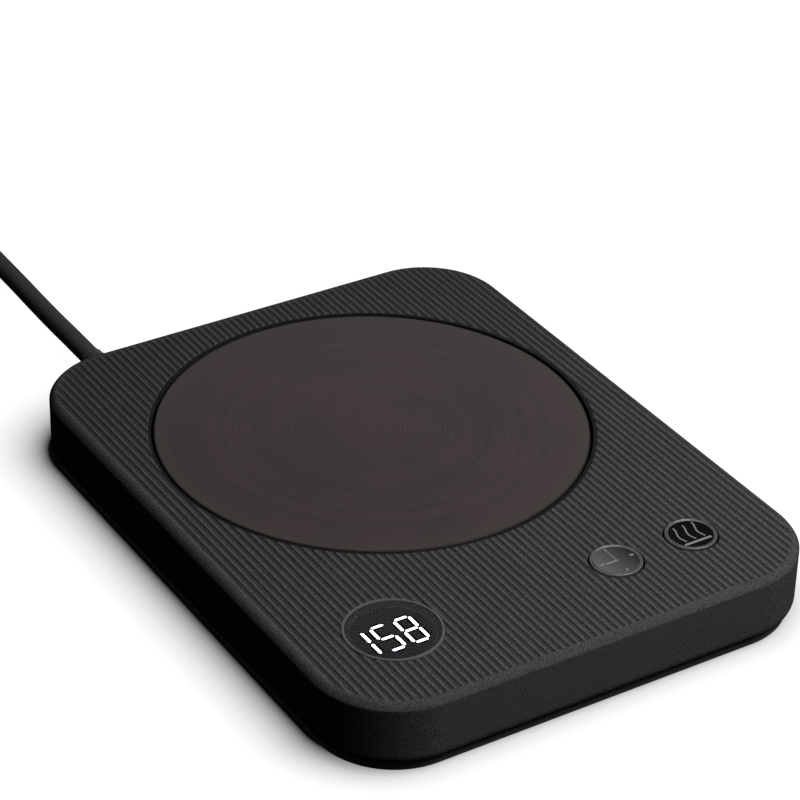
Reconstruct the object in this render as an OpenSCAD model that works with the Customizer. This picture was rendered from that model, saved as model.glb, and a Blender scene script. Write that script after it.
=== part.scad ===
// Electric mug warmer: a flat ribbed body with a round heating plate, a round
// display and two push buttons, its inner works and its mains cord.
// Origin: on the table, under the middle of the body. +Z is up, -Y is the side
// with the controls and +Y is the side with the cord. All sizes are in mm.

/* [Body] */
// Width of the body
body_w = 112; // [108:1:122]
// Depth of the body, from front to rear
body_d = 144; // [141:1:156]
// Height from the table to the deck
body_h = 17; // [16.6:0.2:20]
// Radius of the body's corners, seen from above
corner_r = 18.5; // [15:0.5:21]
// Thickness of the shell's side walls
wall_t = 2.2; // [1.8:0.1:2.6]
// Thickness of the deck
deck_t = 2; // [1.7:0.1:2.2]
// Width of the soft bevel round the deck
bevel_w = 1.6; // [1:0.1:2]
// Height of that bevel
bevel_h = 1.3; // [0.8:0.1:1.6]
// Width of the rounding along the shell's lower edge
lower_w = 1.3; // [0.8:0.1:1.5]
// Height of that rounding
lower_h = 2.1; // [1:0.1:2.6]

/* [Base] */
// Height of the plinth that shows below the shell
plinth_h = 2.4; // [2.2:0.1:3.2]
// How far the plinth stands back from the shell's wall
plinth_inset = 1.5; // [1.2:0.1:1.7]
// Thickness of the base's floor
floor_t = 2; // [1.6:0.1:2.4]
// Thickness of the base's rim wall
rim_t = 1.4; // [1:0.1:1.8]
// Chamfer on the plinth's lower edge
plinth_chamfer = 0.3; // [0.2:0.1:0.6]
// Number of vent slots in each row under the heater
vent_count = 7; // [3:1:8]

/* [Feet and screws] */
// How far the feet stand out of the base
foot_proud = 0.4; // [0.3:0.1:1]
// Diameter of a rubber foot
foot_d = 11.4; // [9:0.2:12]
// Depth of a foot's socket
foot_socket = 0.8; // [0.5:0.1:1]
// Distance of the housing screws from the body's sides
screw_inset = 12; // [11:0.5:14]

/* [Ribs] */
// Distance from one rib to the next
rib_pitch = 1.65; // [1.4:0.05:2.4]
// Depth of the grooves between the ribs
rib_depth = 0.42; // [0.2:0.02:0.6]
// Plain band between the bevel and the ribs
rib_margin = 0.9; // [0:0.1:1.6]
// Plain band between the ribs and the plate's recess
rib_land = 0.45; // [0.1:0.05:1]

/* [Heating plate] */
// Diameter of the plate
plate_d = 93.2; // [84:0.2:95]
// Thickness of the plate
plate_t = 1.6; // [1.4:0.1:2]
// How far the plate's top lies below the deck
plate_sink = 0.4; // [0.1:0.1:0.8]
// Gap round the plate
plate_gap = 0.6; // [0.4:0.1:1]
// Deck left behind the plate's recess
rear_margin = 8.8; // [8:0.2:12]
// Width of the ledge under the plate
ledge_w = 3.7; // [3:0.1:4.5]
// Thickness of the ledge
ledge_t = 1.8; // [1.4:0.1:2.2]
// Thickness of the silicone seal
seal_t = 0.8; // [0.5:0.1:1.2]

/* [Heater] */
// Thickness of the heater film
film_t = 0.6; // [0.4:0.1:0.8]
// Thickness of the steel clamp plate
clamp_t = 0.8; // [0.6:0.1:1.2]
// Radius of the circle of clamp screws
clamp_screw_r = 36; // [33:0.5:37]
// Diameter of the thermal fuse
fuse_d = 4; // [3:0.1:4.4]

/* [Display] */
// Place of the display, left of the middle
display_x = -34.7; // [-38:0.1:-32]
// Place of the display, behind the front edge
display_front = 23.4; // [20:0.1:26]
// Outer diameter of the trim ring
ring_d = 20.2; // [19.6:0.1:22]
// Width of the trim ring
ring_w = 0.6; // [0.4:0.1:1]
// How far the trim ring stands out of the deck
ring_proud = 0.15; // [0.05:0.05:0.4]
// Thickness of the smoked window
lens_t = 1; // [0.8:0.1:1.2]
// Height of a digit
digit_h = 9.1; // [7:0.1:9.6]
// Width of a digit
digit_w = 4.4; // [3.6:0.1:4.4]
// Distance from one digit to the next
digit_pitch = 5.4; // [5:0.1:5.6]
// Width of a digit's bars
bar_w = 1.05; // [0.7:0.05:1.2]

/* [Buttons] */
// Place of the timer button, right of the middle
timer_x = 16.1; // [14:0.1:17]
// Place of the heat button, right of the middle
heat_x = 34.6; // [33.5:0.1:37]
// Place of both buttons, behind the front edge
button_front = 20.6; // [19:0.1:24]
// Diameter of a button over its rim
button_d = 10.75; // [9:0.25:11.5]
// Width of the bright rim
button_rim_w = 0.7; // [0.5:0.1:1.2]
// How far the rim stands out of the deck
button_proud = 0.3; // [0.1:0.1:0.6]
// Gap between a button and the deck
button_gap = 0.42; // [0.3:0.02:0.6]
// Travel of a button
button_travel = 0.5; // [0.3:0.1:0.6]

/* [Control board] */
// Width of the board
board_w = 92; // [90:1:94]
// Depth of the board
board_d = 29; // [28:0.5:30]
// Thickness of the board
board_t = 1.2; // [1:0.1:1.6]
// Space between the deck and the board
board_drop = 6; // [5.8:0.1:6.4]
// Height of a tact switch's housing
switch_h = 3.5; // [3:0.1:3.8]

/* [Cord] */
// Diameter of the cord
cord_d = 4.7; // [4:0.1:5]
// Distance of the cord's exit from the body's left side
cord_side = 25; // [23:0.5:28]
// Height of the cord's middle above the base's underside
cord_up = 4.8; // [4.6:0.1:5.2]
// Length of the strain relief outside the wall
sleeve_out = 15.5; // [12:0.5:16]
// Diameter of the strain relief at the wall
sleeve_d = 7; // [6.4:0.1:7.4]

/* [Hidden] */
$fn = 96;

// Overshoot of a cut past the face that it opens
eps = 0.5;
// Clearance of pieces that are pressed together
press_gap = 0.05;
// Clearance of pieces that drop into each other
drop_gap = 0.15;

// Heights of the housing
deck_z = body_h;
deck_under = deck_z - deck_t;
base_z = foot_proud;
floor_z = base_z + floor_t;
seam_z = base_z + plinth_h;

// Base rim: a tongue that stands inside the shell's wall
tongue_h = 1.8;
tongue_inset = wall_t + drop_gap;
tongue_z = seam_z + tongue_h;

// Bosses of the shell that stand on the posts of the base
boss_r = 3.5;
pilot_r = 1.15;
pilot_d = 6.5;
housing_x = body_w / 2 - screw_inset;
housing_y = body_d / 2 - screw_inset;
post_z = tongue_z;
socket_z = base_z + foot_socket;
socket_r = foot_d / 2 + drop_gap;
foot_chamfer = 0.45;
head_r = 2.6;
head_h = 1.5;
head_gap = 0.3;
head_z = socket_z + head_gap + head_h;
shank_r = pilot_r - press_gap;
shank_l = 8;

// Vent slots
vent_w = 1.8;
vent_l = 16;
vent_step = 5;
vent_row = 14;

// Ribs: a field of convex ridges inside the bevel
field_w = body_w - 2 * bevel_w;
field_d = body_d - 2 * bevel_w;
rib_count = round(field_w / rib_pitch);
rib_step = field_w / rib_count;
rib_sides = 6;
crest_drop = 0.04;
bevel_steps = 4;
lower_steps = 4;

// Heating plate, its recess and the stack under it
plate_r = plate_d / 2;
recess_r = plate_r + plate_gap;
plate_y = body_d / 2 - rear_margin - recess_r;
plate_top = deck_z - plate_sink;
plate_under = plate_top - plate_t;
ledge_top = plate_under - seal_t;
ledge_under = ledge_top - ledge_t;
ledge_r = recess_r - ledge_w;
well_t = 1.2;
plate_chamfer = 0.3;
heater_gap = 0.8;
heater_r = ledge_r - heater_gap;
film_under = plate_under - film_t;
clamp_inset = 0.7;
clamp_r = recess_r - clamp_inset;
clamp_z = ledge_under - clamp_t;
plate_boss_r = 2.8;
plate_boss_hole = 1.3;
clamp_hole_r = 1.4;
clamp_angles = [30, 150, 270];
clamp_head_r = 2.4;
clamp_head_h = 1.3;
clamp_shank_l = 3.6;
bead_r = 2.6;
bead_neck_r = 1.6;
bead_h = 1.4;
bead_l = 2.6;
seal_inset = 0.2;
boss_gap = 0.3;
sensor_hole_r = 5;
window_x = 25.5;
window_front = 20;
window_y = plate_y - window_front;
window_w = 11;
window_d = 6;
vent_hole_r = 6;
vent_hole_ring = 24;
vent_hole_angles = [0, 60, 120, 180, 240];

// Thermal fuse under the clamp plate
fuse_x = 12;
fuse_l = 9;
fuse_wire_r = 0.5;
fuse_z = clamp_z - fuse_d / 2;
fuse_wire_l = 3;
fuse_wire_up = 3.5;
fuse_end = fuse_x - fuse_l / 2 - fuse_wire_l;
clip_t = 0.5;
clip_w = 4;
clip_ear = 3;

// Display
display_y = -body_d / 2 + display_front;
ring_r = ring_d / 2;
lens_sink = 0.1;
shelf_z = deck_z - lens_t - lens_sink;
lens_r = ring_r - ring_w - press_gap;
sight_r = 8.6;
mask_t = shelf_z - deck_under;
bar_gap = 0.12;
digits_y = -0.7;
digits_right = 6;
module_w = 15.6;
module_d = 11.8;

// Buttons
button_y = -body_d / 2 + button_front;
button_r = button_d / 2;
button_hole_r = button_r + button_gap;
core_r = button_r - button_rim_w;
rim_h = 1.4;
rim_sink = 0.15;
flange_gap = 0.1;
flange_t = 0.9;
flange_r = button_hole_r + 0.8;
flange_top = deck_under - flange_gap;
guide_gap = 0.2;
guide_t = 1.2;
guide_h = 2.4;
key_w = 1.8;
key_l = 0.7;
stem_r = 1.7;
stem_gap = 0.06;
stem_proud = button_travel + 0.3;
stem_l = 1.9;
foot_margin = 0.5;
rim_chamfer = 0.2;

// Control board
board_z = deck_under - board_drop;
board_under = board_z - board_t;
board_front = 22;
board_y = -body_d / 2 + board_front;
board_back = board_y + board_d / 2;
board_boss_r = 2.5;
board_hole_r = 1.1;
board_screw_side = 3.5;
board_screw_rear = 3;
board_screw_front = 4;
front_screw_left = -23;
front_screw_right = 25.3;
board_screw_at = [
    for (s = [-1, 1])
        [s * (board_w / 2 - board_screw_side), board_d / 2 - board_screw_rear],
    for (x = [front_screw_left, front_screw_right])
        [x, board_screw_front - board_d / 2]
];
board_head_r = 2;
board_head_h = 1;
board_shank_l = 5;
switch_w = 6.2;
switch_top = board_z + switch_h;
stem_top = switch_top + stem_proud;

// Components on the board, with their places from the board's middle
chip_at = [2, 5.5];
chip_w = 7;
chip_h = 1.5;
leg_step = 0.8;
leg_l = 1.2;
leg_w = 0.35;
triac_at = [-14, -9.6];
triac_w = 10;
triac_d = 9;
triac_h = 4.4;
tab_d = 6;
tab_t = 1.2;
tab_hole_r = 1.6;
capacitor_at = [-22.5, 0];
capacitor_d = 5;
capacitor_l = 11;
film_capacitor_at = [0.5, -9.5];
film_capacitor_w = 13;
film_capacitor_d = 9;
film_capacitor_h = 4.8;
board_fuse_at = [30.5, -9.5];
board_fuse_d = 3.4;
board_fuse_l = 9;
buzzer_at = [12.5, -9.7];
buzzer_r = 4.5;
buzzer_h = 3.4;
buzzer_hole_r = 1;

// Terminal block and the leads that end in its cells
terminal_at = [29, 4.9];
terminal_w = 16;
terminal_d = 5;
terminal_h = 3.4;
terminal_back = board_y + terminal_at[1] + terminal_d / 2;
cells = [-5, -1, 3.2, 5.4];
cell_z = 1.4;
cell_d = 1.2;
lead_z = board_z + cell_z;
lead_end = terminal_back - cell_d;
lead_r = 0.9;
lead_bend = 2;
lead_low = clamp_z - 3.4;
lead_floor = floor_z + lead_r + 0.5;
sensor_lead_r = 0.6;
sensor_lead_gap = 0.8;
mains_lead_gap = 1.3;
mains_at = [-28, 10];
lead_sides = 8;

// Cord route inside and behind the body
cord_r = cord_d / 2;
cord_x = cord_side - body_w / 2;
cord_z = base_z + cord_up;
cord_sides = 10;
rear_y = body_d / 2;
cord_inside = 22;
sleeve_in = 8;
sleeve_tip_r = 2.75;
sleeve_r = sleeve_d / 2;
sleeve_hole_r = sleeve_r + press_gap;
collar_r = sleeve_r + 0.4;
sleeve_land = 1;
collar_t = 1.2;

// Cord clamp
clamp_bar_back = 13;
clamp_bar_y = rear_y - clamp_bar_back;
clamp_bar_w = 15;
clamp_bar_d = 7;
clamp_bar_t = 3;
clamp_bar_gap = 0.4;
clamp_bar_screw = 5.6;
saddle_hole_r = 0.95;
saddle_hole_d = 2;
saddle_shank_l = 4.6;
saddle_head_r = 1.8;
saddle_head_h = 1.1;

// Coil of the stored length, with its place from the cord's exit
coil_x = -32.3;
coil_y = 96;
coil_r = 27;
coil_w = 20.4;
coil_h = 9.6;
coil_z = 0.8;
coil_round = 2;
tie_t = 0.7;
tie_w = 5;
tie_gap = 0.25;

// Plug beside the coil, with the place of its cord end from the cord's exit
plug_x = -67;
plug_y = 60;
plug_w = 24;
plug_h = 14;
plug_l = 26;
plug_sleeve_l = 12;
plug_sleeve_r = 4.6;
plug_tip_r = 3.2;
plug_bore_l = 8;
plug_round = 5;
plug_edge = [[7, 0], [2.5, 7], [1.5, 14], [0, 20], [0, plug_l]];
blade_w = 1.5;
blade_h = 6.35;
blade_l = 16;
blade_root = 4;
blade_step = 12.7;
blade_hole_r = 1.6;
blade_hole_at = 11.5;

// Points of the cord's centreline, to the coil and from the coil to the plug:
// x and y from the exit, and the height above the table
cord_to_coil = [
    [0, -cord_inside, cord_z], [0, -10, cord_z], [0, 4, cord_z], [0, 16, cord_z],
    [0.4, 26, 4.7], [1, 37, 3.8], [1.7, 48, 3], [2.3, 59, 2.5],
    [2.5, 70, 2.4], [2.5, 78, 2.6], [2.5, 86, 2.9]
];
cord_to_plug = [[-67, 90, 7.6], [-67, 82, 7.2], [-67, 74, 7], [-67, 64, 7]];

// ---- Shapes ----

// Rounded rectangle, seen from above
module plan(w, d, r) {
    square([w, d - 2 * r], center = true);
    square([w - 2 * r, d], center = true);
    for (x = [-1, 1], y = [-1, 1])
        translate([x * (w / 2 - r), y * (d / 2 - r)]) circle(r);
}

// Upright block over a rounded rectangle that stands back by inset
module block(inset, z0, z1) {
    translate([0, 0, z0]) linear_extrude(z1 - z0)
        plan(body_w - 2 * inset, body_d - 2 * inset, corner_r - inset);
}

// Solid over the body's plan, whose side follows edge: a list of [inset, z]
module profiled(edge) {
    low = edge[0][1];
    high = edge[len(edge) - 1][1];
    for (x = [-1, 1], y = [-1, 1])
        translate([x * (body_w / 2 - corner_r), y * (body_d / 2 - corner_r), 0])
            rotate_extrude() polygon(concat(
                [[0, low]], [for (p = edge) [corner_r - p[0], p[1]]], [[0, high]]));
    rotate([90, 0, 0]) linear_extrude(body_d - 2 * corner_r, center = true)
        polygon(mirrored(edge, body_w / 2));
    rotate([90, 0, 90]) linear_extrude(body_w - 2 * corner_r, center = true)
        polygon(mirrored(edge, body_d / 2));
}

// Both sides of a cross-section whose side follows edge
function mirrored(edge, half) = concat(
    [for (p = edge) [half - p[0], p[1]]],
    [for (i = [len(edge) - 1:-1:0]) [edge[i][0] - half, edge[i][1]]]);

// Upright cylinder or ring at a place
module disc(r, z0, z1) {
    translate([0, 0, z0]) cylinder(r = r, h = z1 - z0);
}

module ring(r_out, r_in, z0, z1) {
    difference() {
        disc(r_out, z0, z1);
        disc(r_in, z0 - eps, z1 + eps);
    }
}

// Box centred in x and y, from z0 to z1
module box(w, d, z0, z1) {
    translate([-w / 2, -d / 2, z0]) cube([w, d, z1 - z0]);
}

// Pan-head screw that points up, with the underside of its head at z
module screw(z, shank, length, head, height) {
    difference() {
        union() {
            disc(shank, z, z + length);
            disc(head, z - height, z);
        }
        for (a = [0, 90])
            rotate(a) box(head * 1.1, head * 0.28, z - height - eps, z - height * 0.45);
    }
}

// Tube through a list of points, with rings square to the route. The route
// nowhere runs along off, a direction that keeps the rings from twisting.
function unit(v) = v / norm(v);
function heading(pts, i) =
    unit(pts[min(i + 1, len(pts) - 1)] - pts[max(i - 1, 0)]);
module tube(pts, r, sides, off) {
    n = len(pts);
    rings = [
        for (i = [0:n - 1])
            let (t = heading(pts, i), s = unit(cross(t, off)), u = cross(s, t))
            for (k = [0:sides - 1])
                let (a = 360 * k / sides)
                pts[i] + r * (cos(a) * s + sin(a) * u)
    ];
    faces = concat(
        [[for (k = [0:sides - 1]) k]],
        [[for (k = [sides - 1:-1:0]) (n - 1) * sides + k]],
        [
            for (i = [0:n - 2], k = [0:sides - 1])
                let (a = i * sides + k, b = i * sides + (k + 1) % sides)
                [a, a + sides, b + sides, b]
        ]);
    polyhedron(rings, faces);
}

// Places
module at_housing_screws() {
    for (x = [-1, 1], y = [-1, 1])
        translate([x * housing_x, y * housing_y, 0]) children();
}
module at_board_screws() {
    for (place = board_screw_at) at_board(place) children();
}
module at_board(place) {
    translate([place[0], board_y + place[1], 0]) children();
}
module at_plate() translate([0, plate_y, 0]) children();
module at_clamp_screws() {
    for (a = clamp_angles)
        translate([0, plate_y, 0]) rotate(a) translate([clamp_screw_r, 0, 0])
            children();
}
module at_display() translate([display_x, display_y, 0]) children();
module at_button(x) translate([x, button_y, 0]) children();
module at_exit() translate([cord_x, rear_y, 0]) children();
module at_cord(y) {
    translate([cord_x, y, cord_z]) rotate([-90, 0, 0]) children();
}

// ---- Housing ----

// Side of the shell: a rounded lower edge, a plain wall and a soft bevel
function lower_edge() = [
    for (i = [0:lower_steps])
        let (a = 90 * i / lower_steps)
        [lower_w * (1 - sin(a)), seam_z + lower_h * (1 - cos(a))]
];
function bevel_edge() = [
    for (i = [0:bevel_steps])
        let (t = i / bevel_steps)
        [bevel_w * t, deck_z - bevel_h * pow(1 - t, 2)]
];

// Everything above the ribs, over the rib field, but not round the plate
module groove_field() {
    count = rib_count + 2;
    half = count * rib_step / 2;
    ridges = [
        for (i = [0:count * rib_sides])
            let (u = 2 * (i % rib_sides) / rib_sides - 1)
            [i * rib_step / rib_sides - half,
                deck_z - crest_drop - rib_depth * u * u]
    ];
    difference() {
        intersection() {
            block(bevel_w + rib_margin, deck_z - rib_depth - eps, deck_z + eps);
            rotate([90, 0, 0]) linear_extrude(body_d + eps, center = true)
                polygon(concat(ridges,
                    [[half, deck_z + 2 * eps], [-half, deck_z + 2 * eps]]));
        }
        at_plate() disc(recess_r + rib_land, ledge_top, deck_z + 2 * eps);
    }
}

// Round guide under the deck for a button's flange, with a slot for its key
module button_guide() {
    difference() {
        disc(flange_r + guide_gap + guide_t, deck_under - guide_h, deck_under);
        disc(flange_r + guide_gap, deck_under - guide_h - eps, deck_under + eps);
        translate([0, -flange_r, 0])
            box(key_w + 2 * guide_gap, 4 * guide_t,
                deck_under - guide_h - eps, deck_under + eps);
    }
}

module top_shell() {
    color([0.16, 0.155, 0.16]) difference() {
        union() {
            difference() {
                profiled(concat(lower_edge(), bevel_edge()));
                block(wall_t, seam_z - eps, deck_under);
            }
            at_plate() disc(recess_r + well_t, ledge_under, deck_under + eps);
            at_housing_screws() disc(boss_r, post_z, deck_under + eps);
            at_board_screws() disc(board_boss_r, board_z, deck_under + eps);
            for (x = [timer_x, heat_x]) at_button(x) button_guide();
        }
        groove_field();
        at_plate() {
            disc(recess_r, ledge_top, deck_z + eps);
            disc(ledge_r, ledge_under - eps, deck_z + eps);
        }
        at_housing_screws() disc(pilot_r, post_z - eps, post_z + pilot_d);
        at_board_screws() disc(board_hole_r, board_z - eps, deck_under);
        at_display() {
            disc(ring_r + press_gap, shelf_z, deck_z + eps);
            disc(sight_r, deck_under - eps, deck_z);
        }
        for (x = [timer_x, heat_x])
            at_button(x) disc(button_hole_r, deck_under - eps, deck_z + eps);
        at_cord(rear_y - sleeve_in) cylinder(r = sleeve_hole_r, h = 2 * sleeve_in);
    }
}

module base_cover() {
    color([0.1, 0.1, 0.105]) difference() {
        union() {
            difference() {
                union() {
                    profiled([
                        [plinth_inset + plinth_chamfer, base_z],
                        [plinth_inset, base_z + plinth_chamfer],
                        [plinth_inset, seam_z]
                    ]);
                    block(tongue_inset, seam_z - eps, tongue_z);
                }
                block(tongue_inset + rim_t, floor_z, tongue_z + eps);
            }
            at_housing_screws() disc(boss_r, base_z + foot_socket, post_z);
            translate([cord_x, clamp_bar_y, 0])
                box(clamp_bar_w, clamp_bar_d, floor_z - eps, cord_z);
        }
        at_housing_screws() {
            disc(socket_r, base_z - eps, socket_z);
            disc(head_r + drop_gap, socket_z - eps, head_z);
            disc(pilot_r + head_gap, head_z - eps, post_z + eps);
        }
        at_cord(clamp_bar_y - clamp_bar_d)
            cylinder(r = cord_r + press_gap, h = sleeve_in + clamp_bar_d);
        at_cord(rear_y - sleeve_in) cylinder(r = sleeve_hole_r, h = 2 * sleeve_in);
        at_cord(rear_y - tongue_inset - rim_t - collar_t - drop_gap)
            cylinder(r = collar_r + drop_gap, h = collar_t + drop_gap);
        at_saddle_screws()
            disc(saddle_hole_r, cord_z - saddle_hole_d, cord_z + eps);
        at_plate() vents();
    }
}

module vents() {
    for (row = [-1, 1], i = [0:vent_count - 1])
        translate([(i - (vent_count - 1) / 2) * vent_step, row * vent_row, 0])
            translate([0, 0, base_z - eps]) linear_extrude(floor_t + 2 * eps) {
                square([vent_w, vent_l - vent_w], center = true);
                for (y = [-1, 1]) translate([0, y * (vent_l - vent_w) / 2])
                    circle(vent_w / 2, $fn = 32);
            }
}

module housing_screws() {
    color([0.62, 0.62, 0.64]) at_housing_screws()
        screw(head_z, shank_r, shank_l, head_r, head_h);
}

module rubber_feet() {
    color([0.12, 0.12, 0.12]) at_housing_screws() rotate_extrude() polygon([
        [0, 0], [foot_d / 2 - foot_chamfer, 0], [foot_d / 2, foot_chamfer],
        [foot_d / 2, socket_z], [0, socket_z]
    ]);
}

// ---- Heater stack ----

module heating_plate() {
    color([0.24, 0.21, 0.2]) difference() {
        union() {
            at_plate() rotate_extrude() polygon([
                [0, plate_under], [plate_r, plate_under],
                [plate_r, plate_top - plate_chamfer],
                [plate_r - plate_chamfer, plate_top], [0, plate_top]
            ]);
            at_clamp_screws() disc(plate_boss_r, ledge_under, plate_under + eps);
        }
        at_clamp_screws()
            disc(plate_boss_hole, ledge_under - eps, clamp_z + clamp_shank_l + drop_gap);
    }
}

module plate_seal() {
    color([0.35, 0.33, 0.32])
        at_plate() ring(plate_r - seal_inset, ledge_r + seal_inset, ledge_top, plate_under);
}

// Round sheet of the stack, with the holes that the whole stack shares
module heater_sheet(r, z0, z1, boss_hole, windowed) {
    difference() {
        at_plate() ring(r, sensor_hole_r, z0, z1);
        at_clamp_screws() disc(boss_hole, z0 - eps, z1 + eps);
        if (windowed) translate([window_x, window_y, 0])
            box(window_w, window_d, z0 - eps, z1 + eps);
    }
}

module heater_film() {
    color([0.72, 0.45, 0.2])
        heater_sheet(heater_r, film_under, plate_under, plate_boss_r + boss_gap, false);
}

module insulation_pad() {
    color([0.85, 0.83, 0.78])
        heater_sheet(heater_r, ledge_under, film_under, plate_boss_r + boss_gap, true);
}

module clamp_plate() {
    color([0.7, 0.71, 0.72]) difference() {
        heater_sheet(clamp_r, clamp_z, ledge_under, clamp_hole_r, true);
        at_plate() for (a = vent_hole_angles) rotate(a)
            translate([vent_hole_ring, 0, 0])
                disc(vent_hole_r, clamp_z - eps, ledge_under + eps);
    }
}

module clamp_screws() {
    color([0.75, 0.75, 0.76]) at_clamp_screws()
        screw(clamp_z, plate_boss_hole - press_gap, clamp_shank_l, clamp_head_r, clamp_head_h);
}

module thermistor() {
    color([0.15, 0.25, 0.2]) at_plate() {
        disc(bead_r, plate_under - bead_h, plate_under);
        disc(bead_neck_r, plate_under - bead_l, plate_under - bead_h + eps);
    }
}

// Axial fuse that lies along x under the clamp plate. One wire ends in a lead,
// and the other goes up through the window to the film.
module thermal_fuse() {
    up_x = window_x - fuse_wire_up;
    color([0.8, 0.78, 0.7]) {
        translate([fuse_x, window_y, fuse_z]) rotate([0, 90, 0])
            cylinder(d = fuse_d, h = fuse_l, center = true);
        translate([fuse_end, window_y, fuse_z]) rotate([0, 90, 0])
            cylinder(r = fuse_wire_r, h = up_x - fuse_end);
        translate([up_x, window_y, 0]) disc(fuse_wire_r, fuse_z, film_under);
        translate([up_x, window_y, fuse_z]) sphere(fuse_wire_r, $fn = 24);
    }
}

module fuse_clip() {
    out_r = fuse_d / 2 + press_gap + clip_t;
    rise = clamp_z - fuse_z;
    color([0.78, 0.78, 0.76]) translate([fuse_x, window_y, clamp_z])
        rotate([90, 0, 90]) linear_extrude(clip_w, center = true) difference() {
            union() {
                translate([0, -rise]) circle(out_r);
                translate([-out_r, -rise]) square([2 * out_r, rise]);
                translate([-out_r - clip_ear, -clip_t])
                    square([2 * (out_r + clip_ear), clip_t]);
            }
            translate([0, -rise]) circle(out_r - clip_t);
            translate([clip_t - out_r, -rise])
                square([2 * (out_r - clip_t), rise + eps]);
            translate([-out_r, 0]) square([2 * out_r, out_r]);
        }
}

// ---- Display ----

module display_ring() {
    color([0.32, 0.31, 0.32]) at_display()
        ring(ring_r, ring_r - ring_w, shelf_z, deck_z + ring_proud);
}

module display_lens() {
    color([0.14, 0.13, 0.14]) at_display() disc(lens_r, shelf_z, shelf_z + lens_t);
}

// Outline of one bar of a digit, with mitred ends, along x
module bar(length) {
    h = bar_w / 2;
    l = length / 2 - bar_gap;
    polygon([[-l, 0], [h - l, h], [l - h, h], [l, 0], [l - h, -h], [h - l, -h]]);
}

// The bars of one digit that are named: 0 top, 1 middle, 2 bottom,
// 3 upper left, 4 upper right, 5 lower left, 6 lower right
module digit(bars) {
    across = digit_w - bar_w;
    half = (digit_h - bar_w) / 2;
    for (b = bars)
        translate(b < 3
            ? [0, (1 - b) * half]
            : [(b % 2 == 1 ? -1 : 1) * across / 2, (b < 5 ? 1 : -1) * half / 2])
            rotate(b < 3 ? 0 : 90) bar(b < 3 ? across : half);
}

// The first digit is a half digit: it can only be a 1
all_bars = [0, 1, 2, 3, 4, 5, 6];
half_digit = [4, 6];
lit_bars = [half_digit, [0, 3, 1, 6, 2], all_bars];
dark_bars = [[], [4, 5], []];

module digits(shown) {
    for (i = [0:2])
        translate([digits_right - digit_w / 2 - (2 - i) * digit_pitch, digits_y])
            digit(shown[i]);
}

module segment_mask() {
    color([0.05, 0.05, 0.05]) at_display() difference() {
        disc(sight_r - press_gap, deck_under, shelf_z);
        translate([0, 0, deck_under - eps]) linear_extrude(mask_t + 2 * eps)
            digits([half_digit, all_bars, all_bars]);
    }
}

module lit_segments() {
    color([1, 1, 1]) at_display()
        translate([0, 0, deck_under]) linear_extrude(mask_t) digits(lit_bars);
}

module unlit_segments() {
    color([0.3, 0.3, 0.3]) at_display()
        translate([0, 0, deck_under]) linear_extrude(mask_t) digits(dark_bars);
}

module display_module() {
    color([0.85, 0.85, 0.83]) at_display()
        translate([0, digits_y, 0]) box(module_w, module_d, board_z, deck_under);
}

// ---- Buttons ----

// Round cap with a flange, a key that stops it turning, and a foot on the stem
module button_cap(x) {
    face_z = deck_z + button_proud - rim_sink;
    rim_seat = deck_z + button_proud - rim_h;
    at_button(x) {
        disc(core_r - press_gap, flange_top - eps, face_z);
        disc(button_r, flange_top - eps, rim_seat);
        disc(flange_r, flange_top - flange_t, flange_top);
        translate([0, -flange_r, 0])
            box(key_w, 2 * key_l, flange_top - flange_t, flange_top);
        disc(stem_r + foot_margin, stem_top, flange_top - flange_t + eps);
    }
}

module button_rim(x) {
    at_button(x) rotate_extrude() polygon([
        [core_r, deck_z + button_proud - rim_h],
        [button_r, deck_z + button_proud - rim_h],
        [button_r, deck_z + button_proud - rim_chamfer],
        [button_r - rim_chamfer, deck_z + button_proud],
        [core_r + rim_chamfer / 2, deck_z + button_proud],
        [core_r, deck_z + button_proud - rim_chamfer / 2]
    ]);
}

// Housing of a tact switch, with the bore that its stem slides in
module tact_switch(x) {
    at_button(x) difference() {
        box(switch_w, switch_w, board_z, switch_top);
        disc(stem_r + stem_gap, switch_top - stem_l, switch_top + eps);
    }
}

module switch_stem(x) {
    at_button(x) disc(stem_r, stem_top - stem_l, stem_top);
}

module timer_button_cap() color([0.3, 0.3, 0.31]) button_cap(timer_x);
module timer_button_rim() color([0.55, 0.55, 0.56]) button_rim(timer_x);
module timer_switch() color([0.12, 0.12, 0.12]) tact_switch(timer_x);
module timer_switch_stem() color([0.6, 0.12, 0.1]) switch_stem(timer_x);
module heat_button_cap() color([0.05, 0.05, 0.05]) button_cap(heat_x);
module heat_button_rim() color([0.55, 0.55, 0.56]) button_rim(heat_x);
module heat_switch() color([0.12, 0.12, 0.12]) tact_switch(heat_x);
module heat_switch_stem() color([0.6, 0.12, 0.1]) switch_stem(heat_x);

// ---- Control board ----

module control_board() {
    color([0.1, 0.35, 0.2]) difference() {
        translate([0, board_y, 0]) box(board_w, board_d, board_under, board_z);
        at_board_screws() disc(board_hole_r + head_gap, board_under - eps, board_z + eps);
        at_housing_screws() disc(boss_r + 1, board_under - eps, board_z + eps);
        for (s = [-1, 1]) translate([s * (housing_x + board_w / 2), -housing_y - boss_r, 0])
            box(board_w, 2 * boss_r + 2, board_under - eps, board_z + eps);
    }
}

module board_screws() {
    color([0.7, 0.7, 0.7]) at_board_screws()
        screw(board_under, board_hole_r - press_gap, board_shank_l, board_head_r, board_head_h);
}

// Square chip with its rows of legs
module control_chip() {
    color([0.06, 0.06, 0.06]) at_board(chip_at) {
        box(chip_w, chip_w, board_z + press_gap, board_z + chip_h);
        for (a = [0:90:270], i = [-3:3])
            rotate(a) translate([(chip_w + leg_l) / 2 - press_gap, i * leg_step, 0])
                box(leg_l, leg_w, board_z, board_z + chip_h / 3);
    }
}

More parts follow.
